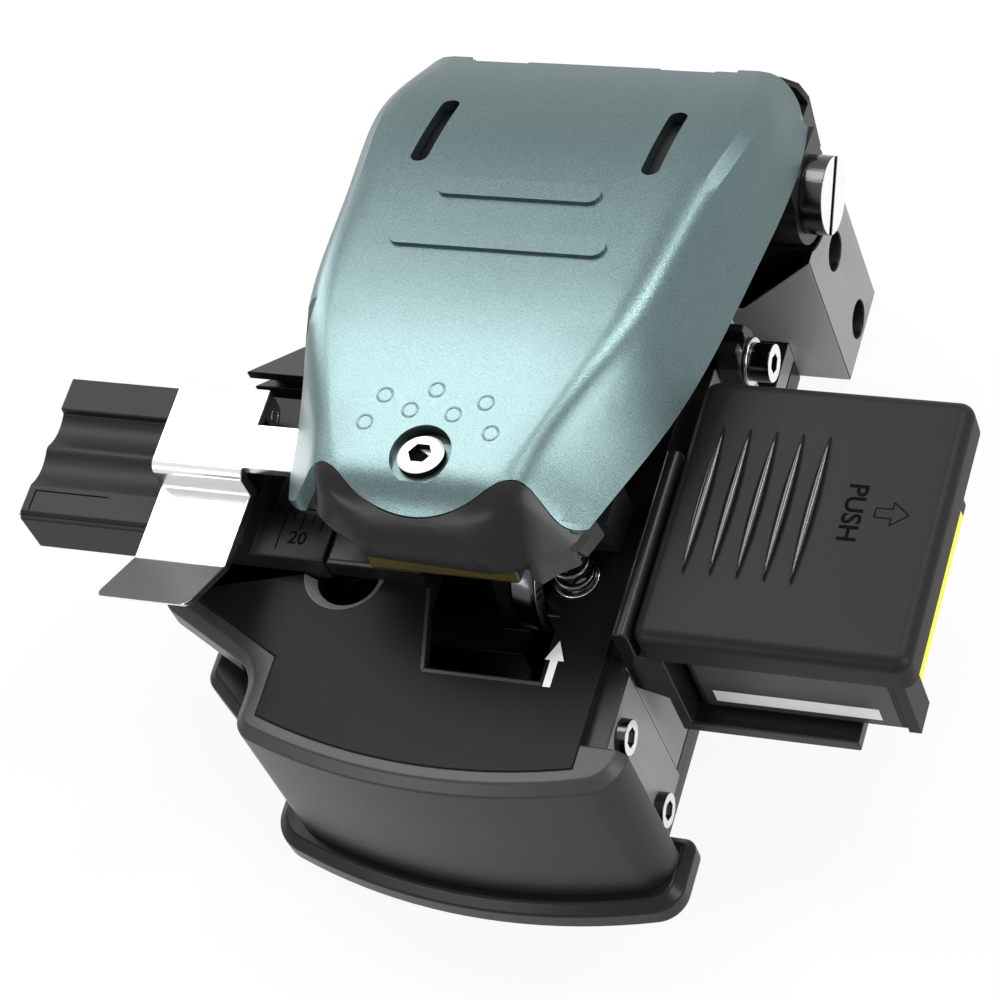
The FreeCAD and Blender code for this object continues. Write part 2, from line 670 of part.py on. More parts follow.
def make_housing():
    """Bumper, wing and lower ledge in one piece, with a bevelled rim round the deck."""
    housing = Piece("front_housing")
    inner_back = S.notch_y + 3
    wing_back = S.wing_back + 2.8
    housing.pad("xy", S.foot_plate_top, S.deck_height, [
        (S.cover_left, bow(S.cover_left, S.bow_radius)),
        (S.cover_right, bow(S.cover_right, S.bow_radius)), (S.cover_right, S.core_front),
        (S.core_left, S.core_front), (S.core_left, inner_back), (S.cover_left, inner_back)],
        {0: S.bow_radius})
    housing.pad("xy", S.deck_height - S.wing_thickness, S.deck_height, [
        (S.wing_left, S.wing_corner_y), (S.cover_left, S.notch_y), (S.core_left, S.notch_y),
        (S.core_left, wing_back + 1), (S.wing_shoulder, wing_back),
        (S.wing_left, S.wing_side_end)])
    housing.pad("xy", S.ledge_top - S.ledge_thickness, S.ledge_top, [
        (S.ledge_left, S.wing_corner_y - 4.2), (S.cover_left, S.core_front - 1.2),
        (S.core_left, S.core_front - 1.2), (S.core_left, S.wing_back),
        (S.ledge_left, S.wing_back - 4)])
    housing.pad("xy", S.foot_plate_top, S.deck_height - 1,
                rectangle(S.core_left - 6.5, S.core_left, S.notch_y + 3.5, S.wing_back))
    housing.round(3.0, upright(S.cover_left, bow(S.cover_left, S.bow_radius)))
    housing.round(5.0, upright(S.cover_right, bow(S.cover_right, S.bow_radius)))
    housing.round(4.5, upright(S.cover_left, S.notch_y))
    housing.round(2.5, any_of(upright(S.wing_left, S.wing_corner_y),
                              upright(S.ledge_left, S.wing_corner_y - 4.2)))
    housing.bevel(S.bevel, any_of(
        at_height(S.deck_height, (-99, S.core_left - 1, -99, S.wing_back - 1)),
        at_height(S.deck_height, (-99, 99, -99, S.core_front - 1)),
        at_height(S.ledge_top, (-99, S.cover_left - 0.1, -99, S.wing_back - 4.2))))
    housing.pocket("xy", DECK_SEAT, S.deck_height + 1, *deck_outline(True))
    housing.pocket("xy", S.holder_seat, S.deck_height + 1, rectangle(
        S.wing_left - 1, S.core_left + 1, S.holder_front - 0.1, S.holder_back + 0.1))
    return node(housing)


def deck_outline(cutter):
    """Outline of the deck plate; as a cutter it runs past the open sides."""
    reach = S.bow_radius - MARGIN
    left = S.cover_left + MARGIN
    right = S.core_right - 2.1
    rear = S.deck_back
    side = S.holder_front - 0.2
    points = [(S.wing_left + MARGIN, side), (S.wing_left + MARGIN, S.wing_corner_y + MARGIN_Y),
              (left, S.notch_y + MARGIN_Y), (left, bow(left, reach)), (right, bow(right, reach)),
              (right, rear), (S.holder_right + 0.2, rear), (S.holder_right + 0.2, side)]
    if cutter:
        points = points[:5] + [(right, S.core_front + 1), (S.core_left + 1, S.core_front + 1),
                               (S.core_left + 1, side)]
    return points, {3: reach}


def make_deck():
    """Deck plate with the window over the carriage, the finger hole and the spring's hole."""
    deck = Piece("deck_plate")
    points, arcs = deck_outline(False)
    deck.pad("xy", DECK_SEAT, S.deck_height, points, arcs)
    step_right = S.channel_right + WINDOW_STEP
    front = S.channel_front
    window_right = S.channel_right + 0.2
    window_left = S.channel_left + 3.6
    back = CHANNEL_BACK - 8
    deck.pocket("xy", DECK_SEAT - 1, S.deck_height, [
        (window_left + 2, front), (step_right, front), (step_right, front + WINDOW_LENGTH),
        (window_right, front + WINDOW_LENGTH + 1), (window_right, back), (window_left, back),
        (window_left, front + WINDOW_LENGTH - 1.2)])
    deck.bore("xy", DECK_SEAT - 1, S.deck_height, [SPRING_PLACE], SPRING_WELL)
    deck.bore("xy", DECK_SEAT - 1, S.deck_height, [FINGER_HOLE], S.finger_radius)
    deck.bevel(S.finger_ring, lambda edge: at_height(S.deck_height)(edge)
               and edge.Curve.TypeId == "Part::GeomCircle"
               and abs(edge.Curve.Radius - float(S.finger_radius)) < 0.01)
    return node(deck)


def socket_screw(name, x, y, z, head_radius, head_length, shaft_radius, shaft_length, across):
    """Socket screw along X whose head starts at x and points to the right."""
    head = rod(name + "_head", "x", head_radius, x, x + head_length, y, z)
    shaft = rod(name + "_shaft", "x", shaft_radius, x - shaft_length, x, y, z)
    socket = hexagon(name + "_socket", "x", across, x + head_length * 0.4,
                     x + head_length + 1, y, z)
    return cut(name, join(name + "_body", head, shaft), socket)


def make_side_screws():
    face = S.core_right + S.land_depth
    screws = [socket_screw("side_screw%d" % i, face, y, z, 2.1, 1.3, 1.5, 4.0, 2.0)
              for i, (y, z) in enumerate(SIDE_SCREWS)]
    return node(group("side_screws", *screws))


# ---------------------------------------------------------------- fibre holder and clamp
def make_holder():
    """Long block with two hollow guides and a thin ridge beside the fibre line."""
    holder = Piece("fibre_holder")
    front, back = S.holder_front, S.holder_back
    top = S.fibre_height
    ridge = top - 0.35
    holder.pad("yz", S.holder_left, S.clamp_right, [
        (front, S.holder_seat), (back, S.holder_seat), (back, top), (back - 4.5, top),
        (back - 4.6, top - 0.9), (S.fibre_y + 0.3, ridge), (S.fibre_y - 0.3, ridge),
        (front + 4.5, top), (front + 0.7, top), (front, top - 0.7)],
        {4: -S.guide_radius, 6: -S.guide_radius})
    seat = top - 5
    holder.pad("yz", S.clamp_right, S.holder_right, [
        (front, S.holder_seat), (back, S.holder_seat), (back, top), (back - 5.5, top),
        (back - 5.5, seat), (front + 6, seat), (front + 6, top - 3), (front, top - 3)])
    lug = S.clamp_pin_radius + 0.7
    low, high = S.clamp_left + S.sheet + 0.2, S.clamp_right - S.sheet - 0.2
    holder.pad("yz", low, high, rectangle(
        S.clamp_axis_y - lug, S.clamp_axis_y + lug, top - 1.2, CLAMP_AXIS[1]))
    holder.boss("yz", low, high, [CLAMP_AXIS], lug)
    holder.bore("yz", S.clamp_left, S.clamp_right, [CLAMP_AXIS], S.clamp_pin_radius + S.pin_gap)
    return node(holder)


def make_ruler():
    ruler = Piece("ruler_plate")
    ruler.pad("xy", S.deck_height, S.fibre_height - 3, rectangle(
        S.holder_right + 0.2, S.holder_right + 12.2, S.holder_front, S.holder_front + 6))
    ruler.bevel(0.4, at_height(S.fibre_height - 3))
    return node(ruler)


def make_clamp():
    """Clamp plate bent from thick sheet: upper plate, step, lower plate and lifting tab."""
    plate = Piece("clamp_plate")
    t = S.sheet
    upper, lower = CLAMP_UPPER, S.fibre_height + t
    step = S.clamp_step_y
    tab = S.clamp_tab_front
    rise = S.clamp_tab_rise
    plate.pad("yz", S.clamp_left, S.clamp_right, [
        (S.clamp_back, upper), (S.clamp_back, upper - t), (step + t, upper - t),
        (step + t, lower - t), (S.clamp_lower_front + 0.4, lower - t),
        (tab + 0.8, lower + rise - t * 1.25), (tab, lower + rise - 0.1),
        (S.clamp_lower_front, lower), (step, lower), (step, upper)])
    plate.pad("xy", upper - t, upper, rectangle(
        S.clamp_right - 0.5, S.tongue_end, S.tongue_front, S.tongue_back))
    axis = [CLAMP_AXIS]
    for low, high in ((S.clamp_left, S.clamp_left + t), (S.clamp_right - t, S.clamp_right)):
        plate.pad("yz", low, high, rectangle(
            S.clamp_axis_y - 1.6, S.clamp_axis_y + 1.6, CLAMP_AXIS[1], upper - 0.5))
        plate.boss("yz", low, high, axis, 1.6)
    plate.bore("yz", S.clamp_left - 1, S.clamp_right + 1, axis, S.clamp_pin_radius)
    plate.round(1.3, lambda edge: edge.BoundBox.XLength > 5 and
                abs(edge.BoundBox.Center.y - float(step)) < 0.05 and
                abs(edge.BoundBox.Center.z - float(upper)) < 0.05)
    plate.round(1.0, lambda edge: edge.BoundBox.XLength < 0.01 and
                abs(edge.BoundBox.Center.y - float(tab + 0.4)) < 0.2 and
                edge.BoundBox.ZLength > 0.8)
    return node(plate)


def make_clamp_pin():
    pin = rod("clamp_pin", "x", S.clamp_pin_radius, S.clamp_left, S.clamp_right,
              S.clamp_axis_y, CLAMP_AXIS[1])
    return node(pin)


def make_clamp_pad():
    """Rubber pad under the clamp's upper plate, pressing on the fibre's jacket."""
    pad = block("clamp_pad", S.clamp_left + 2.2, S.clamp_right - 2.2, S.fibre_y - 2.4,
                S.fibre_y + 2.4, S.fibre_height + 0.05, CLAMP_UPPER - S.sheet)
    return node(pad)


# ---------------------------------------------------------------- cutting mechanism
def make_rail():
    half = S.rail_width / 2
    rail = Piece("guide_rail")
    rail.pad("xy", S.channel_floor, S.channel_floor + S.rail_height, rectangle(
        -half, half, S.channel_front + 1, CHANNEL_BACK - 1))
    rail.bevel(0.5, at_height(S.channel_floor + S.rail_height))
    return node(rail)


def make_carriage():
    carriage = Piece("blade_carriage")
    front = S.wheel_y - S.carriage_length / 2
    back = front + S.carriage_length
    half = S.rail_width / 2 + S.slide_gap
    rail_top = S.channel_floor + S.rail_height + S.slide_gap
    left = S.channel_left + 0.6
    right = S.wheel_x - 0.3
    foot = S.channel_floor + 0.5
    top = S.channel_floor + 12.6
    carriage.pad("xz", -back, -front, [
        (left, foot), (-half, foot), (-half, rail_top), (half, rail_top), (half, foot),
        (right, foot), (right, top), (left, top)])
    axis = [(S.wheel_y, WHEEL_Z)]
    carriage.pad("yz", right - 3.5, right, [
        (S.wheel_y - 6, top - 1), (S.wheel_y + 6, top - 1),
        (S.wheel_y + 4, WHEEL_Z), (S.wheel_y - 4, WHEEL_Z)])
    carriage.boss("yz", right - 3.5, right, axis, 4.0)
    carriage.bore("yz", right - 4, right + 1, axis, S.axle_radius)
    return node(carriage)


def make_wheel():
    wheel = Piece("score_wheel")
    axis = [(S.wheel_y, WHEEL_Z)]
    right = S.wheel_x + S.wheel_width
    wheel.boss("yz", S.wheel_x, right, axis, S.wheel_radius)
    wheel.bevel(0.6, lambda edge: edge.BoundBox.YLength > 15)
    wheel.bore("yz", S.wheel_x - 1, right + 1, axis, S.axle_radius + S.pin_gap)
    wheel.bore("yz", right - 1.2, right + 1, axis, 3.1)
    return node(wheel)


def make_axle_screw():
    right = S.wheel_x + S.wheel_width
    return node(socket_screw("wheel_screw", right - 1.1, S.wheel_y, WHEEL_Z, 2.9, 1.0,
                             S.axle_radius, right - 1.1 - (S.wheel_x - 3.6), 2.5))


def make_lower_pads():
    """Two fixed pads, one on each side of the score wheel."""
    front, back = S.fibre_y - FIBRE_PAD_HALF, S.fibre_y + FIBRE_PAD_HALF
    pads = [block("lower_pad%d" % i, PAD_SPANS[i][0], PAD_SPANS[i][1], front, back,
                  S.deck_height, S.fibre_height) for i in (0, 2)]
    return node(group("lower_pads", *pads))


def make_spring_ring():
    x, y = SPRING_PLACE
    outer = rod("ring_outer", "z", 2.7, DECK_SEAT - 4, S.deck_height + 0.3, x, y)
    inner = rod("ring_inner", "z", 2.1, DECK_SEAT - 3, S.deck_height + 1, x, y)
    return node(cut("spring_ring", outer, inner))


def make_return_spring():
    """Compression spring of square wire that lifts the arm; it stands in the steel ring."""
    wire, coil, turns = 0.9, 1.95, 4.0
    x, y = [float(v) for v in SPRING_PLACE]
    bottom = float(DECK_SEAT - 3)
    rise = spring_top() - bottom - wire
    helix = Part.makeHelix(rise / turns, rise, coil - wire / 2)
    section = Part.makePolygon([
        Vector(coil - wire, 0, 0), Vector(coil, 0, 0), Vector(coil, 0, wire),
        Vector(coil - wire, 0, wire), Vector(coil - wire, 0, 0)])
    coils = Part.Wire(helix).makePipeShell([section], True, True)
    coils.translate(Vector(x, y, bottom))
    return node(coded("return_spring", coils))


def spring_top():
    """Height of the open arm's underside above the spring."""
    angle = math.radians(float(S.open_angle))
    reach = float(S.pivot_y - SPRING_PLACE[1]) + 2.0
    drop = float(FRAME_BOTTOM - S.pivot_z)
    return float(S.pivot_z) + drop * math.cos(angle) + (reach / math.cos(angle) - drop
                                                        * math.tan(angle)) * math.sin(angle) - 1.1


# ---------------------------------------------------------------- arm
def arm_rows(inset):
    """The sections' places, half widths and tops: the stations, then the rounded nose."""
    level = float(ARM_EDGE)
    rows = []
    for station in STATIONS:
        y, edge, ridge, height = [float(getattr(S, "%s_%s" % (station, part)))
                                  for part in ("y", "edge", "ridge", "height")]
        rows.append((y, edge, ridge, level + height))
    brow_y, brow_edge, brow_ridge, brow_top = rows[-1]
    length, half = float(S.nose_length) - inset, float(S.nose_half)
    lip = float(LIP_BOTTOM)
    for turn in NOSE_TURNS:
        lean, rise = math.sin(math.radians(turn)), math.cos(math.radians(turn))
        edge = half + (brow_edge - half) * rise
        rows.append((brow_y - length * lean, edge, edge - (brow_edge - brow_ridge) * rise,
                     lip + (brow_top - lip) * rise))
    return rows


def arm_section(y, edge, ridge, top, bottom, inset, chords):
    """Closed section across the arm: upright below the cover's edge, then sides that lean inwards
    and ridges rounded in chords."""
    level = float(ARM_EDGE)
    run, climb = ridge - edge, top - level
    slant = math.hypot(run, climb)
    run, climb = run / slant, climb / slant
    foot_x, foot_z = edge - climb * inset, level + run * inset
    crown = top - inset

    def on_side(z):
        return Vector(foot_x + run * (z - foot_z) / climb, y, z)

    corner = on_side(crown)
    down = Vector(-run, 0, -climb)
    level_in = Vector(-1, 0, 0)
    half_angle = down.getAngle(level_in) / 2
    radius = max(float(S.ridge_radius) - inset, 0.8)
    reach = min(radius / math.tan(half_angle), 0.8 * (crown - bottom))
    radius = reach * math.tan(half_angle)
    centre = corner + (down + level_in).normalize() * (radius / math.sin(half_angle))
    first, last = corner + down * reach - centre, corner + level_in * reach - centre
    start, end = math.atan2(first.z, first.x), math.atan2(last.z, last.x)
    hem = on_side(min(level, centre.z + first.z - 0.3))
    side = [Vector(hem.x, y, bottom), hem]
    for step in range(chords + 1):
        angle = start + (end - start) * step / chords
        side.append(centre + Vector(math.cos(angle), 0, math.sin(angle)) * radius)
    beyond = (side[-1] - side[-2]).normalize()
    side[-1] = side[-1] + beyond * ROOF
    other = [Vector(-point.x, point.y, point.z) for point in reversed(side)]
    return Part.makePolygon(side + other + side[:1])


def arm_profile(rows, bottom, inset=0.0, overrun=0.0, raised=0.0, plain=False):
    """Everything under the arm's top line, which runs through the sections' tops."""
    far = float(S.rear_y) + overrun
    tops = [Vector(0, y, top - inset + raised) for y, edge, ridge, top in rows]
    slope = (tops[0].z - tops[1].z) / (tops[0].y - tops[1].y)
    if overrun:
        tops.insert(0, Vector(0, far, tops[0].z + slope * overrun))
    if plain:
        line = Part.makePolygon(tops)
    else:
        curve = Part.BSplineCurve()
        curve.interpolate(tops)
        line = curve.toShape()
    below = Part.makePolygon([tops[-1], Vector(0, tops[-1].y, bottom), Vector(0, far, bottom),
                              tops[0]])
    region = Part.Face(Part.Wire(line.Edges + below.Edges))
    region.translate(Vector(-SHELL_FAR / 2, 0, 0))
    return region.extrude(Vector(SHELL_FAR, 0, 0))


def arm_form(bottom, inset=0.0, overrun=0.0, chords=3, plain=False):
    """Loft of the arm's sides and ridges, closed above by the top line.

    A plain form runs straight from section to section and serves the faces inside the arm.
    """
    bottom = float(bottom)
    rows = arm_rows(inset)
    shown = list(rows)
    if overrun:
        rear, tail = rows[0], rows[1]
        share = overrun / (rear[0] - tail[0])
        shown.insert(0, tuple(a + (a - b) * share for a, b in zip(rear, tail)))
    sections = [arm_section(*row, bottom - BELOW, inset, chords) for row in shown]
    sides = Part.makeLoft(sections, True, plain, False, 3)
    solid = sides.common(arm_profile(rows, bottom - BELOW, inset, overrun, 0.0, plain))
    return solid.cut(slab(-SHELL_FAR, SHELL_FAR, -SHELL_FAR, SHELL_FAR, bottom - 9, bottom))


def front_region(shift):
    """Everything in front of the wavy border between the cover and the lip."""
    right = [Vector(x, y - shift, 0) for x, y in BORDER]
    left = [Vector(-point.x, point.y, 0) for point in reversed(right[1:])]
    border = Part.BSplineCurve()
    border.interpolate(left + right)
    start, end = left[0], right[-1]
    ends = [end, Vector(end.x, -SHELL_FAR, 0), Vector(start.x, -SHELL_FAR, 0), start]
    edges = [border.toShape()] + [Part.LineSegment(a, b).toShape()
                                  for a, b in zip(ends, ends[1:])]
    return Part.Face(Part.Wire(edges)).extrude(Vector(0, 0, SHELL_FAR))


def capsule(x, y, length, width, along):
    """Pill-shaped prism through the arm's top."""
    x, y, length, width = [float(size(v)) for v in (x, y, length, width)]
    half = (length - width) / 2
    radius = width / 2
    turn = 0 if along == "x" else 90
    ends = [Vector(-half, -radius, 0), Vector(half, -radius, 0), Vector(half, radius, 0),
            Vector(-half, radius, 0)]
    wire = Part.Wire([
        Part.LineSegment(ends[0], ends[1]).toShape(),
        Part.Arc(ends[1], Vector(half + radius, 0, 0), ends[2]).toShape(),
        Part.LineSegment(ends[2], ends[3]).toShape(),
        Part.Arc(ends[3], Vector(-half - radius, 0, 0), ends[0]).toShape()])
    prism = Part.Face(wire).extrude(Vector(0, 0, 40))
    prism.Placement = Placement(Vector(x, y, float(ARM_EDGE) + 1), Rotation(Vector(0, 0, 1), turn))
    return prism


def slab(left, right, front, back, bottom, top):
    """Plain block for the shapes that this file's own code makes."""
    left, right, front, back, bottom, top = [float(size(v)) for v in (
        left, right, front, back, bottom, top)]
    return Part.makeBox(right - left, back - front, top - bottom, Vector(left, front, bottom))


def upright_rod(radius, x, y, bottom, top):
    return Part.makeCylinder(float(size(radius)), float(size(top)) - float(size(bottom)),
                             Vector(float(size(x)), float(size(y)), float(size(bottom))))


def lying_rod(radius, y, z, left, right):
    return Part.makeCylinder(float(size(radius)), float(size(right)) - float(size(left)),
                             Vector(float(size(left)), float(size(y)), float(size(z))),
                             Vector(1, 0, 0))


def relief():
    """Room on the left for the tongue of the clamp plate."""
    return slab(-60, S.relief_x, S.relief_front, S.relief_back, 0, 80)


def cover_screw_seat():
    return float(ARM_EDGE + S.brow_height - S.screw_sink)


def rear_corner(side):
    """Cuts the cover's rear corner round, as seen from above."""
    radius = float(S.corner_radius)
    x, y = float(S.rear_edge) - radius, float(S.rear_y) - radius
    reach = slab(x, x + 9, y, y + 9, 0, SHELL_FAR)
    corner = reach.cut(upright_rod(radius, x, y, 0, SHELL_FAR))
    return corner if side > 0 else corner.mirror(Vector(0, 0, 0), Vector(1, 0, 0))


def cover_hollow():
    """The hollow inside the cover, open towards the rear and below."""
    return arm_form(ARM_EDGE - 3, float(S.cover_wall), 4.0, 2, True)


def make_arm_cover():
    """Sand-blasted cover: a lofted shell with a wavy front, grip bars, slots and a screw well."""
    outer = arm_form(ARM_EDGE)
    inner = cover_hollow()
    shell = outer.cut(inner).cut(front_region(0.0))
    raised = arm_profile(arm_rows(0.0), float(ARM_EDGE), raised=float(S.bar_raise))
    bars = [capsule(0, y, length, S.bar_width, "x").common(raised).cut(inner)
            for y, length in ((S.front_bar_y, S.front_bar_length),
                              (S.rear_bar_y, S.rear_bar_length))]
    shell = shell.fuse(bars)
    slots = [capsule(S.slot_x * side, S.slot_y, S.slot_length, S.slot_width, "y")
             for side in (-1, 1)]
    seat = cover_screw_seat()
    well = upright_rod(S.cover_screw_well, 0, S.cover_screw_y, seat, seat + 9)
    hole = upright_rod(SHANK + 0.1, 0, S.cover_screw_y, seat - 9, seat + 9)
    rear = S.rear_y
    top = ARM_EDGE + S.rear_height
    strip = slab(-S.strip_half, S.strip_half, rear - S.strip_depth, rear + 9, top - 2.2, top + 9)
    notches = [slab(left, left + 7, rear - S.strip_depth - 0.35, rear, top - 2.2, top + 9)
               for left in (-S.strip_half + 0.8, S.strip_half - 9.6)]
    corners = [rear_corner(side) for side in (-1, 1)]
    shell = shell.cut(slots + [well, hole, strip, relief()] + notches + corners)
    return node(opened(coded("arm_cover", shell.removeSplitter())))


def make_arm_frame():
    """Black frame inside the cover, with the lip in front and the hinge ears behind."""
    inside = float(S.cover_wall + S.skin_gap)
    core = arm_form(FRAME_BOTTOM, inside, 0.0, 2, True)
    lip = arm_form(LIP_BOTTOM).common(front_region(float(S.skin_gap)))
    skin = arm_form(ARM_EDGE).cut(cover_hollow())
    inner = core.fuse(frame_skirt()).cut(skin.cut(front_region(0.0)))
    body = inner.fuse([lip] + rear_plate())
    for side in (-1, 1):
        near, far = sorted((side * float(EAR_INNER), side * float(EAR_OUTER)))
        web = slab(near, far, S.pivot_y - 5.4, S.pivot_y + 5.4, S.pivot_z, FRAME_BOTTOM + 0.2)
        boss = lying_rod(S.ear_radius, S.pivot_y, S.pivot_z, near, far)
        body = body.fuse([web, boss])
    clear = float(LUG_RADIUS) + 0.4
    body = body.cut([
        lying_rod(clear, S.pivot_y, S.pivot_z, -EAR_INNER, EAR_INNER),
        slab(-EAR_INNER, EAR_INNER, S.pivot_y - clear, S.pivot_y + clear, 0, S.pivot_z),
        lying_rod(S.pin_radius + S.pin_gap, S.pivot_y, S.pivot_z, -60, 60),
        slab(-15, 15, 8, 36, 0, FRAME_BOTTOM + 5),
        upright_rod(SHANK, 0, S.cover_screw_y, FRAME_BOTTOM - 4, 60), relief()])
    for left, right in PAD_SPANS:
        body = body.cut(slab(left, right, S.fibre_y - FIBRE_PAD_HALF, S.fibre_y + FIBRE_PAD_HALF,
                             0, FRAME_BOTTOM + 1.5))
    return node(opened(coded("arm_frame", body.removeSplitter())))


# Skirt on the right of the lip, seen from above: where it leaves the lip and at its lower edge.
SKIRT_TOP = ((11.8, -16.3), (12.9, -16.6), (14.2, -15.6), (15.6, -14.2), (17.2, -12.4),
             (17.9, -10.8), (14.5, -10.4))
SKIRT_FOOT = ((12.6, -17.9), (14.1, -18.4), (15.6, -16.7), (17.4, -15.4), (18.3, -12.8),
              (18.9, -10.8), (15.0, -10.4))
SKIRT_RISE = 2.4


def frame_skirt():
    """Flared skirt on the right of the lip, with a nick in its lower edge."""
    low = float(LIP_BOTTOM - S.skirt_drop)
    outlines = []
    for points, height in ((SKIRT_TOP, float(ARM_EDGE) + SKIRT_RISE), (SKIRT_FOOT, low)):
        corners = [Vector(x, y, height) for x, y in points]
        outlines.append(Part.makePolygon(corners + corners[:1]))
    nick = prism([(-15.2, low - 1), (-13.8, low - 1), (-14.5, low + 1.6)], 11, 30, "yz")
    return Part.makeLoft(outlines, True, True).cut(nick)


def rear_plate():
    """Plate behind the cover, with cheeks that reach forward to the ears, and the black strip."""
    half = float(S.rear_edge) - 0.4
    back = S.rear_y + 0.05
    low = S.pivot_z - S.cheek_drop
    high = float(ARM_EDGE + S.rear_plate_top)
    bottom = float(low)
    round_off = 3.0
    plate = prism([(-half, bottom), (half, bottom), (half, high - round_off),
                   (half - 0.9, high - 0.9), (half - round_off, high),
                   (round_off - half, high), (0.9 - half, high - 0.9),
                   (-half, high - round_off)],
                  back, back + S.rear_plate_depth, "xz")
    cheeks = [slab(*sorted((side * float(EAR_INNER + 0.2), side * half)),
                   S.pivot_y + 3, back + 0.2, low, FRAME_BOTTOM + 0.2) for side in (-1, 1)]
    strip = slab(-S.strip_half + 0.1, S.strip_half - 0.1, S.rear_y - S.strip_depth + 0.05,
                 back + 0.1, high - 2, ARM_EDGE + S.rear_height - S.strip_sink)
    return [plate, strip] + cheeks


def prism(points, low, high, plane="xy"):
    """Straight prism over a polygon in the named plane."""
    low, high = float(size(low)), float(size(high))
    turned = {"xy": lambda a, b: Vector(a, b, low), "yz": lambda a, b: Vector(low, a, b),
              "xz": lambda a, b: Vector(a, low, b)}[plane]
    rise = {"xy": Vector(0, 0, 1), "yz": Vector(1, 0, 0), "xz": Vector(0, 1, 0)}[plane]
    corners = [turned(a, b) for a, b in points]
    return Part.Face(Part.makePolygon(corners + corners[:1])).extrude(rise * (high - low))


PAD_SPANS = ((-16.0, -9.6), (-3.0, 3.0), (12.9, 16.4))


def make_upper_pads():
    front, back = S.fibre_y - FIBRE_PAD_HALF, S.fibre_y + FIBRE_PAD_HALF
    pads = [block("upper_pad%d" % i, PAD_SPANS[i][0], PAD_SPANS[i][1], front, back,
                  FRAME_BOTTOM - 0.1, FRAME_BOTTOM + 1.5) for i in (0, 2)]
    return node(opened(group("upper_pads", *pads)))


def make_anvil():
    left, right = PAD_SPANS[1]
    anvil = block("anvil_block", left, right, S.fibre_y - 3, S.fibre_y + 3,
                  FRAME_BOTTOM - 0.1, FRAME_BOTTOM + 1.5)
    return node(opened(cut("anvil", anvil, block("anvil_flute", left, right, S.fibre_y - 0.4,
                                                 S.fibre_y + 0.4, FRAME_BOTTOM - 0.2,
                                                 FRAME_BOTTOM + 0.3))))


def make_front_plate():
    """Brass plate under the lip."""
    plate = Piece("front_plate")
    bottom = LIP_BOTTOM - 3.2
    front = S.brow_y - S.nose_length + 1.3
    plate.pad("xy", bottom, LIP_BOTTOM, rectangle(-7.2, 10.9, front, front + 2.4))
    plate.bevel(0.6, at_height(bottom))
    opened(plate.body)
    return node(plate)


def make_cover_screw():
    seat = cover_screw_seat()
    y = S.cover_screw_y
    collar = rod("cover_screw_collar", "z", S.cover_screw_head, seat, seat + 0.8, 0, y)
    crown = cone("cover_screw_crown", "z", S.cover_screw_head, S.cover_screw_head - 0.35,
                 seat + 0.8, seat + 1.1, 0, y)
    head = join("cover_screw_head", collar, crown)
    shaft = rod("cover_screw_shaft", "z", 1.5, seat - 7, seat, 0, y)
    socket = hexagon("cover_screw_socket", "z", 2.5, seat + 0.2, seat + 2, 0, y)
    return node(opened(cut("cover_screw", join("cover_screw_body", head, shaft), socket)))


def make_pivot_pin():
    start = EAR_OUTER
    shaft = rod("pin_shaft", "x", S.pin_radius, -start, start, *PIVOT)
    end = start + S.pin_head_length
    head = rod("pin_head", "x", S.pin_head_radius, start, end, *PIVOT)
    tail = rod("pin_tail", "x", S.pin_head_radius - 0.9, -start - 1.6, -start, *PIVOT)
    half = S.pin_slot / 2
    slot = block("pin_slot", end - 1.1, end + 1, 0, 0, 0, 0)
    bind(slot, "Width", S.pin_slot)
    bind(slot, "Height", S.pin_head_radius * 4)
    place(slot, end - 1.1, S.pivot_y - half, S.pivot_z - S.pin_head_radius * 2)
    return node(opened(cut("pivot_pin", join("pin_body", shaft, head, tail), slot)))


# ---------------------------------------------------------------- waste bin
def make_bin_bracket():
    bracket = Piece("bin_bracket")
    wall = S.core_right
    shoulder = S.bin_left - S.lid_gap
    web = S.tray_left - 0.8
    under = S.skirt_bottom - S.lid_gap
    bracket.pad("xz", -5.3, -(S.bin_front + 0.2), [
        (wall, S.bin_top - 0.2), (wall, 24.0), (web - 1.5, 22.3), (web - 1.5, S.shelf_bottom),
        (45.0, S.shelf_bottom), (45.0, S.shelf_top), (web, S.shelf_top), (web, under),
        (shoulder, under), (shoulder, S.bin_top - 0.2)])
    bracket.pad("xy", S.shelf_bottom, S.shelf_top, rectangle(web - 1.5, 45.0, 5.3, S.tray_back))
    bracket.round(0.9, lambda edge: edge.BoundBox.YLength > 20 and
                  abs(edge.BoundBox.Center.z - float(S.bin_top - 0.2)) < 0.05)
    return node(bracket)


def make_bin_tray():
    tray = Piece("bin_tray")
    wall = S.bin_wall
    rim = S.skirt_bottom - S.lid_gap
    tray.pad("xy", S.shelf_top, rim,
             rectangle(S.tray_left, S.tray_right, S.tray_front, S.tray_back))
    tray.pad("xy", rim - 1, rim, rectangle(
        S.tray_left - 0.5, S.tray_right + 0.6, S.bin_front + wall + S.lid_gap,
        S.bin_back - wall - S.lid_gap))
    tray.pocket("xy", S.shelf_top + wall, rim + 1, rectangle(
        S.tray_left + wall, S.tray_right - wall, S.tray_front + wall, S.tray_back - wall))
    return node(tray)


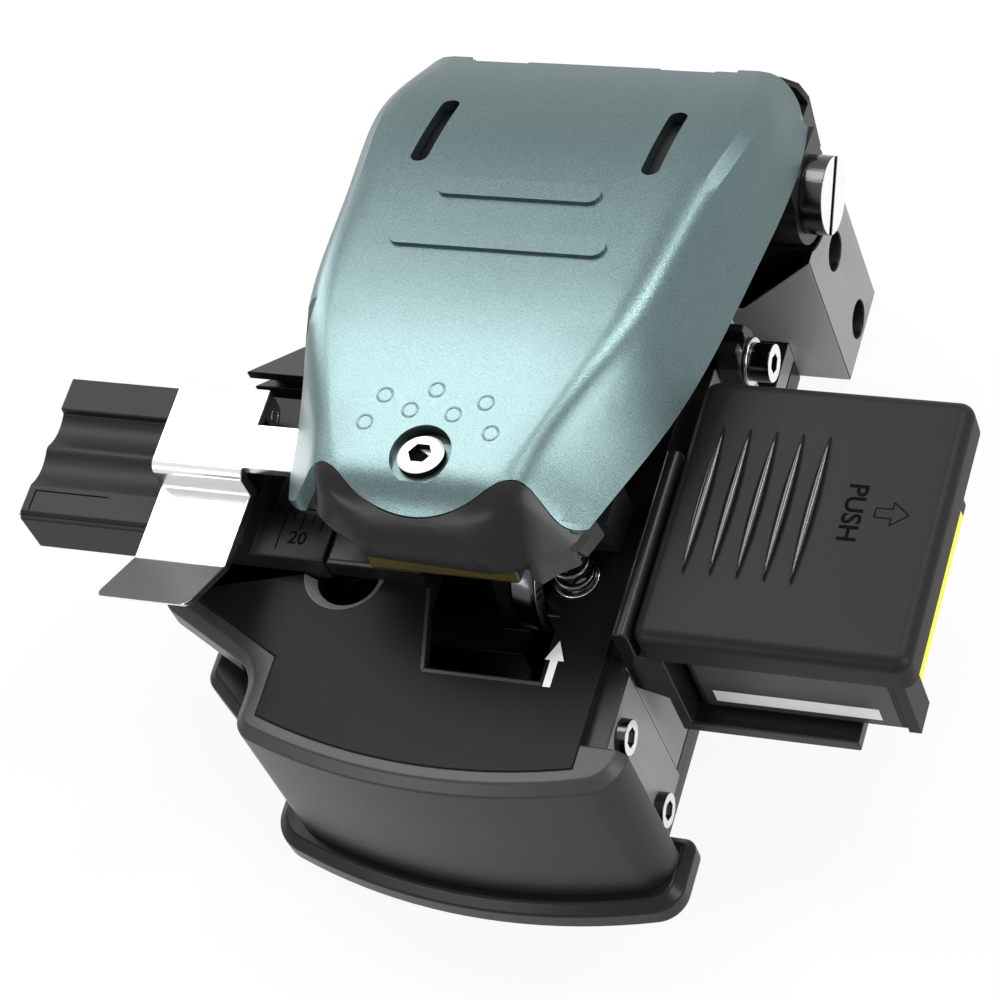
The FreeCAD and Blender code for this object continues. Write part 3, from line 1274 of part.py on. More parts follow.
def make_bin_lid():
    """Sliding lid: shallow cap with five raised ribs and a leg at the right end."""
    lid = Piece("bin_lid")
    wall = S.bin_wall
    lid.pad("xy", S.skirt_bottom, S.bin_top,
            rectangle(S.bin_left, S.bin_right, S.bin_front, S.bin_back))
    corners = [upright(x, y) for x in (S.bin_left, S.bin_right) for y in (S.bin_front, S.bin_back)]
    lid.round(1.8, any_of(*corners))
    lid.round(1.6, at_height(S.bin_top))
    lid.pocket("xy", S.skirt_bottom - 1, S.bin_top - wall, rectangle(
        S.bin_left + wall, S.bin_right - wall, S.bin_front + wall, S.bin_back - wall))
    lid.pad("xy", S.skirt_bottom - 10.5, S.skirt_bottom + 1, rectangle(
        S.tray_right + 1.2, S.tray_right + 2.6, S.bin_front + 0.3, S.bin_front + 4.2))
    first = S.bin_left + 4.05
    front, back = S.bin_front + 8.7, S.bin_back - 6.6
    lid.pad("xy", S.bin_top - 0.5, S.bin_top + 0.4, [(first, front), (first, back)],
            {0: 76.0, 1: 76.0})
    rib = lid.body.Tip
    pattern = lid.body.newObject("PartDesign::LinearPattern", "RibPattern")
    pattern.Originals = [rib]
    pattern.Direction = ([f for f in lid.body.Origin.OriginFeatures if f.Role == "X_Axis"][0], [""])
    pattern.Length = 4 * 3.11
    pattern.Occurrences = 5
    lid.body.Tip = pattern
    return node(lid)


# ---------------------------------------------------------------- latch
def make_latch():
    """Forked latch lever on the right wall."""
    lever = Piece("latch_lever")
    y, z = LATCH_AXIS
    left = S.core_right + S.seat_gap
    lever.pad("yz", left, left + 2.8, [
        (y - 2.9, z - 2.2), (y + 2.9, z - 2.2), (y + 2.9, z + 2.4), (y + 1.8, z + 5.0),
        (y + 0.8, z + 5.0), (y + 0.6, z + 3.0), (y - 0.6, z + 3.0), (y - 0.8, z + 5.0),
        (y - 2.2, z + 5.0), (y - 2.9, z + 2.4)])
    lever.bore("yz", left - 1, left + 4, [LATCH_AXIS], 1.5 + S.pin_gap)
    return node(lever)


def make_latch_bolt():
    face = S.core_right + S.seat_gap + 2.8 + 0.1
    bolt = socket_screw("latch_bolt", face + 0.4, *LATCH_AXIS, 2.3, 2.5, 1.5, 7.0, 2.0)
    return node(bolt)


def make_latch_washer():
    face = S.core_right + S.seat_gap + 2.8 + 0.1
    ring = rod("washer_ring", "x", 2.9, face, face + 0.4, *LATCH_AXIS)
    hole = rod("washer_hole", "x", 1.5, face - 1, face + 1, *LATCH_AXIS)
    return node(cut("latch_washer", ring, hole))


# ---------------------------------------------------------------- rear block
def make_rear_block():
    """Block behind the holder, grooved in front, with a slanted outer end."""
    rear = Piece("rear_block")
    front = S.holder_back + 3.3
    top = S.fibre_height - 0.4
    height = top - S.deck_height
    rear.pad("xy", S.deck_height, top, [
        (-34.4, front), (-17.0, front), (-17.0, front + 6.4), (-22.0, front + 6.4),
        (-27.9, front + 4.4)])
    rear.pocket("xy", S.deck_height + height * 0.46, S.deck_height + height * 0.75,
                rectangle(-40, -10, front - 1, front + 1.4))
    return node(rear)


# ---------------------------------------------------------------- build, check and export
def build():
    make_sole()
    make_foot_plate()
    make_foot_screws()
    make_base()
    make_housing()
    make_deck()
    make_side_screws()
    make_holder()
    make_ruler()
    make_rear_block()
    make_clamp()
    make_clamp_pin()
    make_clamp_pad()
    make_rail()
    make_carriage()
    make_wheel()
    make_axle_screw()
    make_lower_pads()
    make_spring_ring()
    make_return_spring()
    make_arm_cover()
    make_arm_frame()
    make_upper_pads()
    make_anvil()
    make_front_plate()
    make_cover_screw()
    make_pivot_pin()
    make_bin_bracket()
    make_bin_tray()
    make_bin_lid()
    make_latch()
    make_latch_bolt()
    make_latch_washer()
    doc.recompute()


def check():
    for thing in doc.Objects:
        if "Invalid" in thing.State or "Error" in thing.State:
            raise ValueError("%s (%s) failed to compute" % (thing.Name, thing.Label))
    for thing in NODES:
        if thing.Shape.isNull() or not thing.Shape.isValid():
            raise ValueError("%s has no valid shape" % thing.Label)
        box = thing.Shape.BoundBox
        print("%-16s %2d solids %10.1f mm3  x %6.1f %6.1f  y %6.1f %6.1f  z %6.1f %6.1f" % (
            thing.Label, len(thing.Shape.Solids), thing.Shape.Volume, box.XMin, box.XMax,
            box.YMin, box.YMax, box.ZMin, box.ZMax))


def export():
    os.makedirs("parts", exist_ok=True)
    for thing in NODES:
        thing.Shape.exportStep("parts/%s.step" % thing.Label)


build()
check()
export()
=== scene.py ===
# %% [markdown]
# # Dressing a fibre cleaver
# A fibre cleaver is a hand tool that scores a glass fibre with a small wheel and then snaps it. A
# hinged metal arm presses the fibre down on rubber pads, and below it a carriage slides the wheel
# past. The solids come from a packed CAD model. This file gives them their finishes and detail.

# %% Load the packed model
import math

import bmesh
import bpy
from mathutils import Matrix, Vector
from mathutils.bvhtree import BVHTree
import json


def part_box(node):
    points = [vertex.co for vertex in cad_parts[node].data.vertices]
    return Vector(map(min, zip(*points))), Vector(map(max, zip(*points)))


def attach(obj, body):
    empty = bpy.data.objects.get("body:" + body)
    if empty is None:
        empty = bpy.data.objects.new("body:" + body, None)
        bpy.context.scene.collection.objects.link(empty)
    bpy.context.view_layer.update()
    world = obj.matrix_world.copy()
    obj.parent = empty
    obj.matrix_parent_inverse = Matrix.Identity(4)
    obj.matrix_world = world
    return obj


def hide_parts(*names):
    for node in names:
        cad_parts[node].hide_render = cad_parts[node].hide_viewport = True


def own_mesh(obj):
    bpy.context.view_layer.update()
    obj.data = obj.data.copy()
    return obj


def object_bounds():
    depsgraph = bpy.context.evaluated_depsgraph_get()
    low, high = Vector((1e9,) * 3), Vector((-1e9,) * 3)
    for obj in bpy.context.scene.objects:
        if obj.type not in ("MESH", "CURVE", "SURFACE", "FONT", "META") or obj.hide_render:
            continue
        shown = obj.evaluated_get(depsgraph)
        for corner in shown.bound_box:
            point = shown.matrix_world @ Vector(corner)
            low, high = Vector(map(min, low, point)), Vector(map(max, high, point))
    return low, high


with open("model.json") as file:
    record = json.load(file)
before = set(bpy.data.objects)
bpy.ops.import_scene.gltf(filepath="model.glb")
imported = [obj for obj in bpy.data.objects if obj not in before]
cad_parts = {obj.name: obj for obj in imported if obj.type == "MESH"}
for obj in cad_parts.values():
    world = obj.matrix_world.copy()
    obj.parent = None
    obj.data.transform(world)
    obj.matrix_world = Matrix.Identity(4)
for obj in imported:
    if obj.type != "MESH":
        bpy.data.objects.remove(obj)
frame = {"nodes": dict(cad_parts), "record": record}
cad_box = [list(corner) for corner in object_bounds()]
print("box in mm:", [[round(1000 * v, 1) for v in corner] for corner in cad_box])

# %% [markdown]
# ## The view
# The camera looks down from the front right with a long lens, so that upright lines stay nearly
# parallel. Its turn is given by three directions: to the right, up, and back towards the viewer.

# %% Set the camera
scene = bpy.context.scene
scene.view_settings.view_transform = "Standard"
camera_data = bpy.data.cameras.new("camera")
camera_data.lens = 127.63
camera_data.sensor_width = 36.0
camera_data.clip_start = 0.01
camera = bpy.data.objects.new("camera", camera_data)
scene.collection.objects.link(camera)
viewpoint = Vector((0.1549, -0.1894, 0.3577))
to_right = Vector((0.92092502, 0.27461617, -0.27655571))
upward = Vector((-0.09200246, 0.84271571, 0.53043923))
to_viewer = Vector((0.37872503, -0.46305095, 0.80134335))
turn = Matrix((to_right, upward, to_viewer)).transposed().to_4x4()
camera.matrix_world = Matrix.Translation(viewpoint) @ turn
scene.camera = camera
print("camera looks along", [round(-v, 2) for v in to_viewer])

# %% [markdown]
# ## Shader sums in plain Python
# A material is a web of nodes. Wrapping a socket in a small class lets a sum such as `1 - mask`
# add its Math node by itself, and one method adds every other kind of node with what goes into it.


# %% A value that can be used in sums
class Value:
    def __init__(self, web, socket):
        self.web, self.socket = web, socket

    def sum(self, operation, *terms):
        return self.web.node("ShaderNodeMath", {"operation": operation}, dict(enumerate(terms)))

    def __add__(self, other):
        return self.sum("ADD", self, other)

    def __sub__(self, other):
        return self.sum("SUBTRACT", self, other)

    def __rsub__(self, other):
        return self.sum("SUBTRACT", other, self)

    def __mul__(self, other):
        return self.sum("MULTIPLY", self, other)

    def __truediv__(self, other):
        return self.sum("DIVIDE", self, other)

    def __rtruediv__(self, other):
        return self.sum("DIVIDE", other, self)

    __radd__ = __add__
    __rmul__ = __mul__

    def clamped(self):
        return self.sum("MINIMUM", self.sum("MAXIMUM", self, 0.0), 1.0)


print("sums on a value:", [name for name in vars(Value) if name.startswith("__r")])


# %% A web of nodes
class Web:
    def __init__(self, tree):
        self.tree = tree

    def put(self, node, values):
        """Set or link the inputs of a node."""
        for name, value in values.items():
            if isinstance(value, Value):
                self.tree.links.new(value.socket, node.inputs[name])
            else:
                node.inputs[name].default_value = value

    def node(self, kind, settings=None, values=None, output=0):
        """Add a node of any kind and hand back one of its outputs."""
        node = self.tree.nodes.new(kind)
        for name, value in (settings or {}).items():
            setattr(node, name, value)
        self.put(node, values or {})
        return Value(self, node.outputs[output])

    def seen(self):
        """1 for rays from the camera, from metal and through glass, and 0 for rays that light."""
        camera_ray = self.node("ShaderNodeLightPath", output="Is Camera Ray")
        glossy_ray = self.node("ShaderNodeLightPath", output="Is Glossy Ray")
        glass_ray = self.node("ShaderNodeLightPath", output="Is Transmission Ray")
        return (camera_ray + glossy_ray + glass_ray).clamped()


print("the web can add any node")


# %% A finish and its patterns
class Finish(Web):
    def __init__(self, name, **sockets):
        self.material = bpy.data.materials.new(name)
        self.material.use_nodes = True
        super().__init__(self.material.node_tree)
        self.shader = self.tree.nodes["Principled BSDF"]
        self.put(self.shader, {k.replace("_", " "): v for k, v in sockets.items()})
        self.where = self.node("ShaderNodeTexCoord", output="Object")

    def axis(self, name):
        """X, Y or Z of the place on the object, in metres."""
        return self.node("ShaderNodeSeparateXYZ", None, {0: self.where}, name)

    def noise(self, size, detail=2.0, stretch=None):
        """Soft random patches; size is the width of a patch in metres."""
        where = self.where
        if stretch:
            where = self.node("ShaderNodeMapping", None, {"Vector": where, "Scale": stretch})
        values = {"Vector": where, "Scale": 1.0 / size, "Detail": detail, "Roughness": 0.6}
        return self.node("ShaderNodeTexNoise", None, values, "Fac")

    def between(self, share, low, high):
        """A mixed colour, or a plain number where low and high are numbers."""
        if not isinstance(low, tuple):
            return share * (high - low) + low
        # a Mix node lists its sockets for numbers and vectors before those for colours
        first_colour, second_colour, mixed_colour = 6, 7, 2
        return self.node("ShaderNodeMix", {"data_type": "RGBA"}, {
            0: share, first_colour: (*low, 1.0), second_colour: (*high, 1.0)}, mixed_colour)

    def relief(self, height, depth):
        """Small bumps of that depth in metres, fed to the shader's normal."""
        values = {"Height": height, "Distance": depth, "Strength": 1.0}
        self.put(self.shader, {"Normal": self.node("ShaderNodeBump", None, values)})


print("the shader kit is ready")

# %% [markdown]
# ## Blasted and dyed aluminium
# The arm's cover is aluminium, blasted with fine grit and then dyed. Close up it is a field of tiny
# pits that glint. A metallic shader with middling roughness gives the soft sheen on the ridges, and
# a fine noise varies colour, roughness and height together, as the pits do.


# %% Dyed cover
def dyed_cover():
    """Dye that lies thinner on the rims of the pits, with a faint cloud over the whole cover."""
    f = Finish("cover_teal", Metallic=0.93, Specular_IOR_Level=0.5)
    pits = f.noise(0.00020, detail=3.0)
    cloud = f.noise(0.014)
    shade = (pits - 0.5) * 1.6 + (cloud - 0.5) * 0.2 + 0.5
    deep_dye, thin_dye = (0.074, 0.114, 0.117), (0.155, 0.218, 0.222)
    f.put(f.shader, {"Base Color": f.between(shade.clamped(), deep_dye, thin_dye),
                     "Roughness": f.between(pits, 0.26, 0.38)})
    f.relief(pits, 0.000022)
    return f.material


teal = dyed_cover()
print("made", teal.name)

# %% [markdown]
# ## Black anodised aluminium
# The base, the deck, the holder and the arm's frame are anodised almost black. The oxide is a thin
# glassy layer, so a plain shader with a low specular level shows it better than a metallic one:
# dark where it faces the viewer, and pale where the white room grazes it. The pieces differ in how
# dark and how smooth they are, so one function with a few settings makes them all. In front on the
# right, where the arm's lip has its right side, a paler grey is painted into the frame's tone as
# painted light. Whatever else takes that finish there, such as the dark label, gets it as well.


# %% Anodised metal
def painted_side_light(f):
    """Painted light: 1 in front on the right, where the lip's side is, 0 further left and further
    back.
    """
    from_x, rise_x = 0.0125, 0.0020
    to_y, rise_y = 0.010, 0.004
    rightwards = ((f.axis("X") - from_x) / rise_x).clamped()
    forwards = ((to_y - f.axis("Y")) / rise_y).clamped()
    return rightwards * forwards


def anodised(name, dark, light, smooth, rough, level, side=0.0):
    """An oxide from dark to light, from smooth to rough; side is the grey of painted light on the
    lip.
    """
    f = Finish(name, Metallic=0.0, Specular_IOR_Level=level)
    pits = f.noise(0.00018)
    cloud = f.noise(0.015)
    shade = ((pits - 0.5) * 0.8 + (cloud - 0.5) * 0.5 + 0.5).clamped()
    if side:
        shade = shade + painted_side_light(f) * (side / light)
    tone = f.between(shade, dark, light)
    blue_cast = 1.04
    f.put(f.shader, {
        "Base Color": f.node("ShaderNodeCombineColor", None,
                             {"Red": tone, "Green": tone, "Blue": tone * blue_cast}),
        "Roughness": f.between(pits, smooth, rough)})
    f.relief(pits, 0.000006)
    return f.material


body_black = anodised("black_anodised", 0.008, 0.013, 0.24, 0.34, 0.19)
deck_black = anodised("deck_black", 0.006, 0.010, 0.34, 0.44, 0.08)
rim_grey = anodised("rim_grey", 0.030, 0.042, 0.30, 0.40, 0.26)
holder_grey = anodised("holder_charcoal", 0.011, 0.017, 0.34, 0.44, 0.14)
# The frame's black gets painted light, a paler grey, on the lip's right side.
frame_black = anodised("frame_black", 0.007, 0.012, 0.26, 0.36, 0.20, side=0.100)
# Pale grey copies of the oxide, painted light on the tower's front and on the right sides.
tower_grey = anodised("tower_grey", 0.36, 0.42, 0.34, 0.44, 0.50)
flank_grey = anodised("flank_grey", 0.20, 0.25, 0.34, 0.44, 0.50)
side_grey = anodised("side_grey", 0.19, 0.24, 0.34, 0.44, 0.50)
print("materials so far:", [m.name for m in bpy.data.materials])

# %% [markdown]
# ## Bright metals
# Brushed steel has long fine scratches along one direction. A noise squeezed hard along the other
# two directions draws them. Turned screws are the same metal, only smoother and without direction.
# Their faced ends are written as half metal in a pale colour, a painted highlight that stays pale
# from every side, and their turned sides take a near-black steel, a painted dark reflection.


# %% Brushed and turned metal
def bright_metal(name, colour, smooth, rough, stretch, metal=1.0):
    """Scratches that are squeezed by stretch, in a metal from smooth to rough."""
    f = Finish(name, Metallic=metal)
    lines = f.noise(0.004, 3.0, stretch)
    scratched = tuple(0.84 * c for c in colour)
    f.put(f.shader, {"Base Color": f.between(lines, scratched, colour),
                     "Roughness": f.between(lines, smooth, rough)})
    f.relief(lines, 0.000003)
    return f.material


stainless = bright_metal("stainless", (0.80, 0.80, 0.81), 0.20, 0.30, (1.0, 30.0, 30.0))
# A dark copy of the steel for the clamp's tab: brushed, and painted shade.
brushed_tab = bright_metal("brushed_tab", (0.15, 0.15, 0.155), 0.30, 0.42, (1.0, 40.0, 40.0))
screw_steel = bright_metal("screw_steel", (0.74, 0.74, 0.75), 0.14, 0.24, (12.0, 12.0, 12.0))
# A pale half metal for faced ends is a painted highlight, the near-black steel a painted
# reflection.
faced_steel = bright_metal("faced_steel", (0.90, 0.90, 0.91), 0.30, 0.40, (12.0, 12.0, 12.0),
                           metal=0.5)
dark_steel = bright_metal("dark_steel", (0.075, 0.075, 0.078), 0.14, 0.24, (30.0, 4.0, 4.0))
brass = bright_metal("brass", (0.19, 0.155, 0.050), 0.28, 0.42, (1.0, 12.0, 12.0))
ground_steel = bright_metal("ground_steel", (0.42, 0.42, 0.43), 0.34, 0.46, (8.0, 8.0, 8.0))
spring_steel = bright_metal("spring_steel", (0.10, 0.10, 0.105), 0.22, 0.32, (6.0, 6.0, 6.0))
print("materials so far:", len(bpy.data.materials))

# %% [markdown]
# ## Plastic, rubber and print
# The waste bin is moulded in grey-black plastic with a fine spark texture. The sole is rubber.
# Printed marks are thin and slightly uneven films of ink or of plastic, and engraved ones are dull
# black. One noise of the right grain size carries colour, gloss and relief for each of them.


# %% Moulded plastic, rubber and printed films
def moulded(name, dark, light, rough, grain, depth, level=0.5, tint=(1.0, 1.0, 1.03)):
    """Grains of that width, from dark to light in the tint, and as deep as depth says."""
    f = Finish(name, Metallic=0.0, Specular_IOR_Level=level)
    grains = f.noise(grain)
    dark_tint, light_tint = tuple(dark * c for c in tint), tuple(light * c for c in tint)
    f.put(f.shader, {"Base Color": f.between(grains, dark_tint, light_tint),
                     "Roughness": f.between(grains, rough - 0.05, rough + 0.05)})
    f.relief(grains, depth)
    return f.material


bin_plastic = moulded("bin_plastic", 0.009, 0.015, 0.44, 0.00035, 0.000012, 0.13)
# Ribs in a darker, glossier black than the lid: the gloss is real, the darker colour painted shade.
rib_black = moulded("rib_black", 0.004, 0.006, 0.20, 0.00035, 0.000002, 0.6)
rubber = moulded("rubber", 0.008, 0.013, 0.70, 0.0006, 0.00003, 0.3)
# Dull black for engraved marks, and painted shade in the cover screw's socket and on its head's
# side.
engraved = moulded("engraved", 0.002, 0.003, 0.80, 0.0003, 0.00001, 0.05)
white_print = moulded("white_print", 0.82, 0.90, 0.50, 0.0004, 0.000004)
yellow_film = moulded("yellow_film", 0.86, 0.92, 0.38, 0.0005, 0.000004, tint=(1.0, 0.88, 0.0))
print("materials in all:", len(bpy.data.materials))

# %% [markdown]
# ## From machined solid to finished piece
# Every machined or moulded edge is broken by a small bevel, and that line of light is what tells
# the eye that a black piece is metal. The packed solids have sharp edges and loose triangles. A
# boxy one is copied, its doubles are merged, its flat faces are joined, and a Bevel modifier with
# hardened normals breaks its edges. On a doubly curved one a bevel would leave dents in the
# shading, so its copy keeps the solid's own exact normals. Either copy then stands for the solid.

# %% Where each solid belongs
facts = frame["record"]
body_of_node = {node: body for body, nodes in facts["behaviour"]["bodies"].items()
                for node in nodes}
slot_of_node = {item["node"]: item["material_slot"] for item in facts["subparts"]}
same_point = 2e-6
print("bodies known for", len(body_of_node), "solids")


# %% From a shape to a piece
def as_mesh(name, shape, smooth=False):
    """A bmesh kept as a mesh."""
    mesh = bpy.data.meshes.new(name)
    shape.to_mesh(mesh)
    shape.free()
    if smooth:
        mesh.polygons.foreach_set("use_smooth", [True] * len(mesh.polygons))
    return mesh


def evaluated(data, dress=None):
    """What Blender makes of some data, as a plain mesh, once dress has added its modifiers."""
    carrier = bpy.data.objects.new("carrier", data)
    scene.collection.objects.link(carrier)
    if dress:
        dress(carrier)
    graph = bpy.context.evaluated_depsgraph_get()
    result = bpy.data.meshes.new_from_object(carrier.evaluated_get(graph))
    bpy.data.objects.remove(carrier)
    return result


def as_piece(name, mesh, body, slot, *materials):
    """A finished mesh becomes a piece that rides on its body."""
    for material in materials:
        mesh.materials.append(material)
    mesh.name = name
    piece = bpy.data.objects.new(name, mesh)
    scene.collection.objects.link(piece)
    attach(piece, body)
    return piece


def stand_in(name, mesh, materials, choose):
    """The mesh replaces its solid; choose(centre, normal) picks a material for each face."""
    mesh.materials.clear()
    piece = as_piece(name + "_finished", mesh, body_of_node[name], slot_of_node[name],
                     *materials)
    if choose:
        for face in mesh.polygons:
            face.material_index = choose(face.center * 1000, face.normal)
    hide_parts(name)
    return piece


print("slots:", sorted(set(slot_of_node.values())))


# %% Copy, merge and bevel a boxy solid
def merged_copy(name):
    flat = math.radians(0.8)
    shape = bmesh.new()
    shape.from_mesh(frame["nodes"][name].data)
    bmesh.ops.remove_doubles(shape, verts=shape.verts, dist=same_point)
    bmesh.ops.dissolve_limit(shape, angle_limit=flat, verts=shape.verts, edges=shape.edges,
                             use_dissolve_boundaries=False)
    return shape


def finished(name, width, materials, choose=None, shape=None):
    """Bevel a copy of the solid, or the shape that is given for it."""
    edge_angle = math.radians(32.0)
    mesh = as_mesh(name + "_finished", shape or merged_copy(name), smooth=True)
    mesh.set_sharp_from_angle(angle=edge_angle)

    def bevel(carrier):
        step = carrier.modifiers.new("bevel", "BEVEL")
        step.width, step.segments = width, 3
        step.limit_method, step.angle_limit = "ANGLE", edge_angle
        step.use_clamp_overlap, step.harden_normals = False, True

    return stand_in(name, evaluated(mesh, bevel), materials, choose)


print("ready to bevel the boxy solids")


# %% Copy a curved solid with its own normals
def blended(mesh, normals, reach):
    """Round the shading over facets that meet at less than that angle."""
    around = [[] for vertex in mesh.vertices]
    for polygon in mesh.polygons:
        ring = list(polygon.loop_indices)
        for k, i in enumerate(ring):
            here = mesh.vertices[mesh.loops[i].vertex_index].co
            back = mesh.vertices[mesh.loops[ring[k - 1]].vertex_index].co - here
            on = mesh.vertices[mesh.loops[ring[(k + 1) % len(ring)]].vertex_index].co - here
            around[mesh.loops[i].vertex_index].append((normals[i], back.angle(on, 0.0)))
    limit, own_share = math.cos(reach), 1e-6
    result = []
    for loop, own in zip(mesh.loops, normals):
        total = own * own_share
        for normal, weight in around[loop.vertex_index]:
            if normal.dot(own) > limit:
                total = total + normal * weight
        result.append(total.normalized())
    return result


def own_normals(mesh, source, origins):
    """For each corner of the merged mesh, the normal that the solid has there."""
    normals = [None] * len(mesh.loops)
    for polygon, origin in zip(mesh.polygons, origins):
        corners = [(source.vertices[source.loops[i].vertex_index].co,
                    source.corner_normals[i].vector.copy())
                   for i in source.polygons[origin].loop_indices]
        for i in polygon.loop_indices:
            spot = mesh.vertices[mesh.loops[i].vertex_index].co
            normals[i] = min(corners, key=lambda corner: (corner[0] - spot).length)[1]
    return normals


def exact(name, materials, choose=None, move=None):
    """A copy with merged doubles; move(point) may shift its points once the normals are known."""
    source = frame["nodes"][name].data
    shape = bmesh.new()
    shape.from_mesh(source)
    first = shape.faces.layers.int.new("first")
    for face in shape.faces:
        face[first] = face.index
    bmesh.ops.remove_doubles(shape, verts=shape.verts, dist=same_point)
    mesh = as_mesh(name + "_finished", shape, smooth=True)
    origins = [item.value for item in mesh.attributes["first"].data]
    mesh.attributes.remove(mesh.attributes["first"])
    normals = own_normals(mesh, source, origins)
    if move:
        for vertex in mesh.vertices:
            vertex.co = move(vertex.co)
    mesh.normals_split_custom_set(blended(mesh, normals, math.radians(24.0)))
    return stand_in(name, mesh, materials, choose)


print("ready to copy the curved solids")

# %% [markdown]
# ## Base, deck and holder
# The foot plate, the base block, the bumper and the deck are separate anodised pieces. The rim
# round the deck is a little lighter. The tower's front and the faces on its right are painted a
# paler grey, painted light where the lamps fall, and the bevel round the finger hole takes that
# grey as a painted highlight. One function for each piece picks the finish of a face from its place
# and its direction.


# %% Choose the finish of milled faces
def painted_light_faces(centre, normal):
    """Painted light: 1 on the tower's front, 2 on the base's right side, 3 where that side is the
    tower's.
    """
    tower_front, inner_x, tower_depth = 39, 20, 30
    if normal.y < -0.9 and abs(centre.y - tower_front) < 0.3:
        return 1
    if normal.x > 0.9 and centre.x > inner_x:
        return 3 if centre.y > tower_depth else 2
    return 0


def rim_faces(centre, normal):
    """The housing's top rim, above 28 mm."""
    return 1 if normal.z > 0.3 and centre.z > 28 else 0


def ring_highlight_faces(centre, normal):
    """The bevel round the finger hole, painted pale grey as a painted highlight."""
    aside = math.hypot(centre.x + 15.9, centre.y + 11.6)
    return 1 if 3.7 < aside < 5.2 and 0.2 < normal.z < 0.97 else 0


# %% Finish the base
# The base's tower front and right sides take painted light.
finished("base_body", 0.00025, (body_black, tower_grey, flank_grey, side_grey), painted_light_faces)
finished("front_housing", 0.00025, (body_black, rim_grey), rim_faces)
finished("deck_plate", 0.00015, (deck_black, flank_grey), ring_highlight_faces)
finished("foot_plate", 0.00030, (body_black,))
exact("rubber_sole", (rubber,))
finished("bin_bracket", 0.00025, (body_black,))
for small in ("rear_block", "blade_carriage", "ruler_plate"):
    finished(small, 0.00015, (frame_black,))
finished("fibre_holder", 0.00022, (holder_grey,))

# %% [markdown]
# ## The clamp
# The clamp is one strip of stainless sheet, bent twice. Its lifting tab was brushed for grip and is
# rougher than the polished top, and its broad faces are painted darker as painted shade, so they
# get their own finish.


# %% Finish the clamp
def clamp_faces(centre, normal):
    """The broad faces of the tab, painted darker as painted shade; it starts 17 mm in front of the
    middle.
    """
    return 1 if centre.y < -17.0 and abs(normal.z) > 0.7 else 0


finished("clamp_plate", 0.00022, (stainless, brushed_tab), clamp_faces)
finished("clamp_pin", 0.0001, (stainless,))
finished("clamp_pad", 0.0002, (rubber,))
clamp_left, clamp_right = [corner[0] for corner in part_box("clamp_plate")]
print("clamp width in mm:", round(1000 * (clamp_right - clamp_left), 1))

# %% [markdown]
# ## The arm
# The cover is a curved shell with slots, grip bars and a dished screw seat. It and the black frame
# keep the solid's normals. The frame shows in front as a lip whose lower left corner runs inwards
# under the cover, so the copy's lower points are drawn in there. One corner of the frame would
# stand out of the cover's right side, so the points outside that skin are pushed back to it.

# %% Draw in the lip's lower left corner
pivot_y, pivot_z = 45.4, 30.6
swing = math.radians(8.0)


def closed_place(point):
    """Depth and height of a point, in millimetres, when the arm is shut."""
    y, z = 1000 * point.y - pivot_y, 1000 * point.z - pivot_z
    return (pivot_y + y * math.cos(swing) - z * math.sin(swing),
            pivot_z + y * math.sin(swing) + z * math.cos(swing))


def ramp(value, start, span):
    """0 up to start, 1 from start + span on, and a straight rise between them."""
    return min(max((value - start) / span, 0.0), 1.0)


full_draw = Vector((0.0034, 0.0010, 0.0))
cover_skin = Vector((0.79, -0.20, 0.58)).normalized()
skin_level = 41.9


def drawn_in(point):
    """The draw-in grows down, to the left and to the front; the skin holds back one corner."""
    depth, height = closed_place(point)
    drop = ramp(-height, -44.5, 9.0)
    side = ramp(-1000 * point.x, 4.0, 8.0)
    front = ramp(-depth, 8.5, 2.0)
    proud = cover_skin.dot(1000 * point) - skin_level
    at_corner = point.x > 0.016 and -0.0122 < point.y < -0.0080 and point.z > 0.044
    sink = cover_skin * (max(proud, 0.0) / 1000 if at_corner else 0.0)
    return point + full_draw * (drop * side * front) - sink


print("a point at the corner moves by", drawn_in(Vector((-0.014, -0.010, 0.040))).x + 0.014)

# %% Finish the arm
exact("arm_frame", (frame_black,), move=drawn_in)
cover = exact("arm_cover", (teal,))
# The plate's end that faces right is painted pale steel, a painted highlight.
finished("front_plate", 0.0003, (brass, stainless), lambda centre, normal: int(normal.x > 0.8))
finished("upper_pads", 0.0002, (rubber,))
finished("lower_pads", 0.0002, (rubber,))
finished("anvil", 0.0001, (rubber,))
print("cover faces:", len(cover.data.polygons))

# %% [markdown]
# ## Screws, wheel and latch
# The slotted hinge pin and the cap screws have faced ends painted pale, a painted highlight, and
# turned sides painted near black, a painted dark reflection. The cover's screw is round-edged, so
# it keeps its normals, and its hexagon and the head's side are painted black as painted shade.
# The pin's copy is turned about its own axis, since a slot can stop at any angle.


# %% Choose the finish of turned faces
# Faced ends take the painted highlight, turned sides the painted dark reflection.
def highlight_ends_dark_sides(centre, normal):
    return 0 if abs(normal.x) > 0.9 else 1


screw_middle = [500 * (a + b) for a, b in zip(*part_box("cover_screw"))]


def hex_painted_shade(centre, normal):
    """Painted shade: black on the hexagon's floor and walls, within those radii in mm, and the
    head's side.
    """
    socket_floor, socket_wall = 0.6, 1.12
    aside = math.hypot(centre.x - screw_middle[0], centre.y - screw_middle[1])
    wall = aside < socket_wall and normal.z < 0.9
    return 1 if aside < socket_floor or normal.z < 0.5 or wall else 0


print("cover screw in plan, in mm:", [round(v, 2) for v in screw_middle[:2]])

# %% Finish the turned pieces
pin_shape = merged_copy("pivot_pin")
pin_turn = Matrix.Rotation(math.radians(-46.6), 3, "X")
bmesh.ops.rotate(pin_shape, cent=(0, pivot_y / 1000, pivot_z / 1000), verts=pin_shape.verts,
                 matrix=pin_turn)
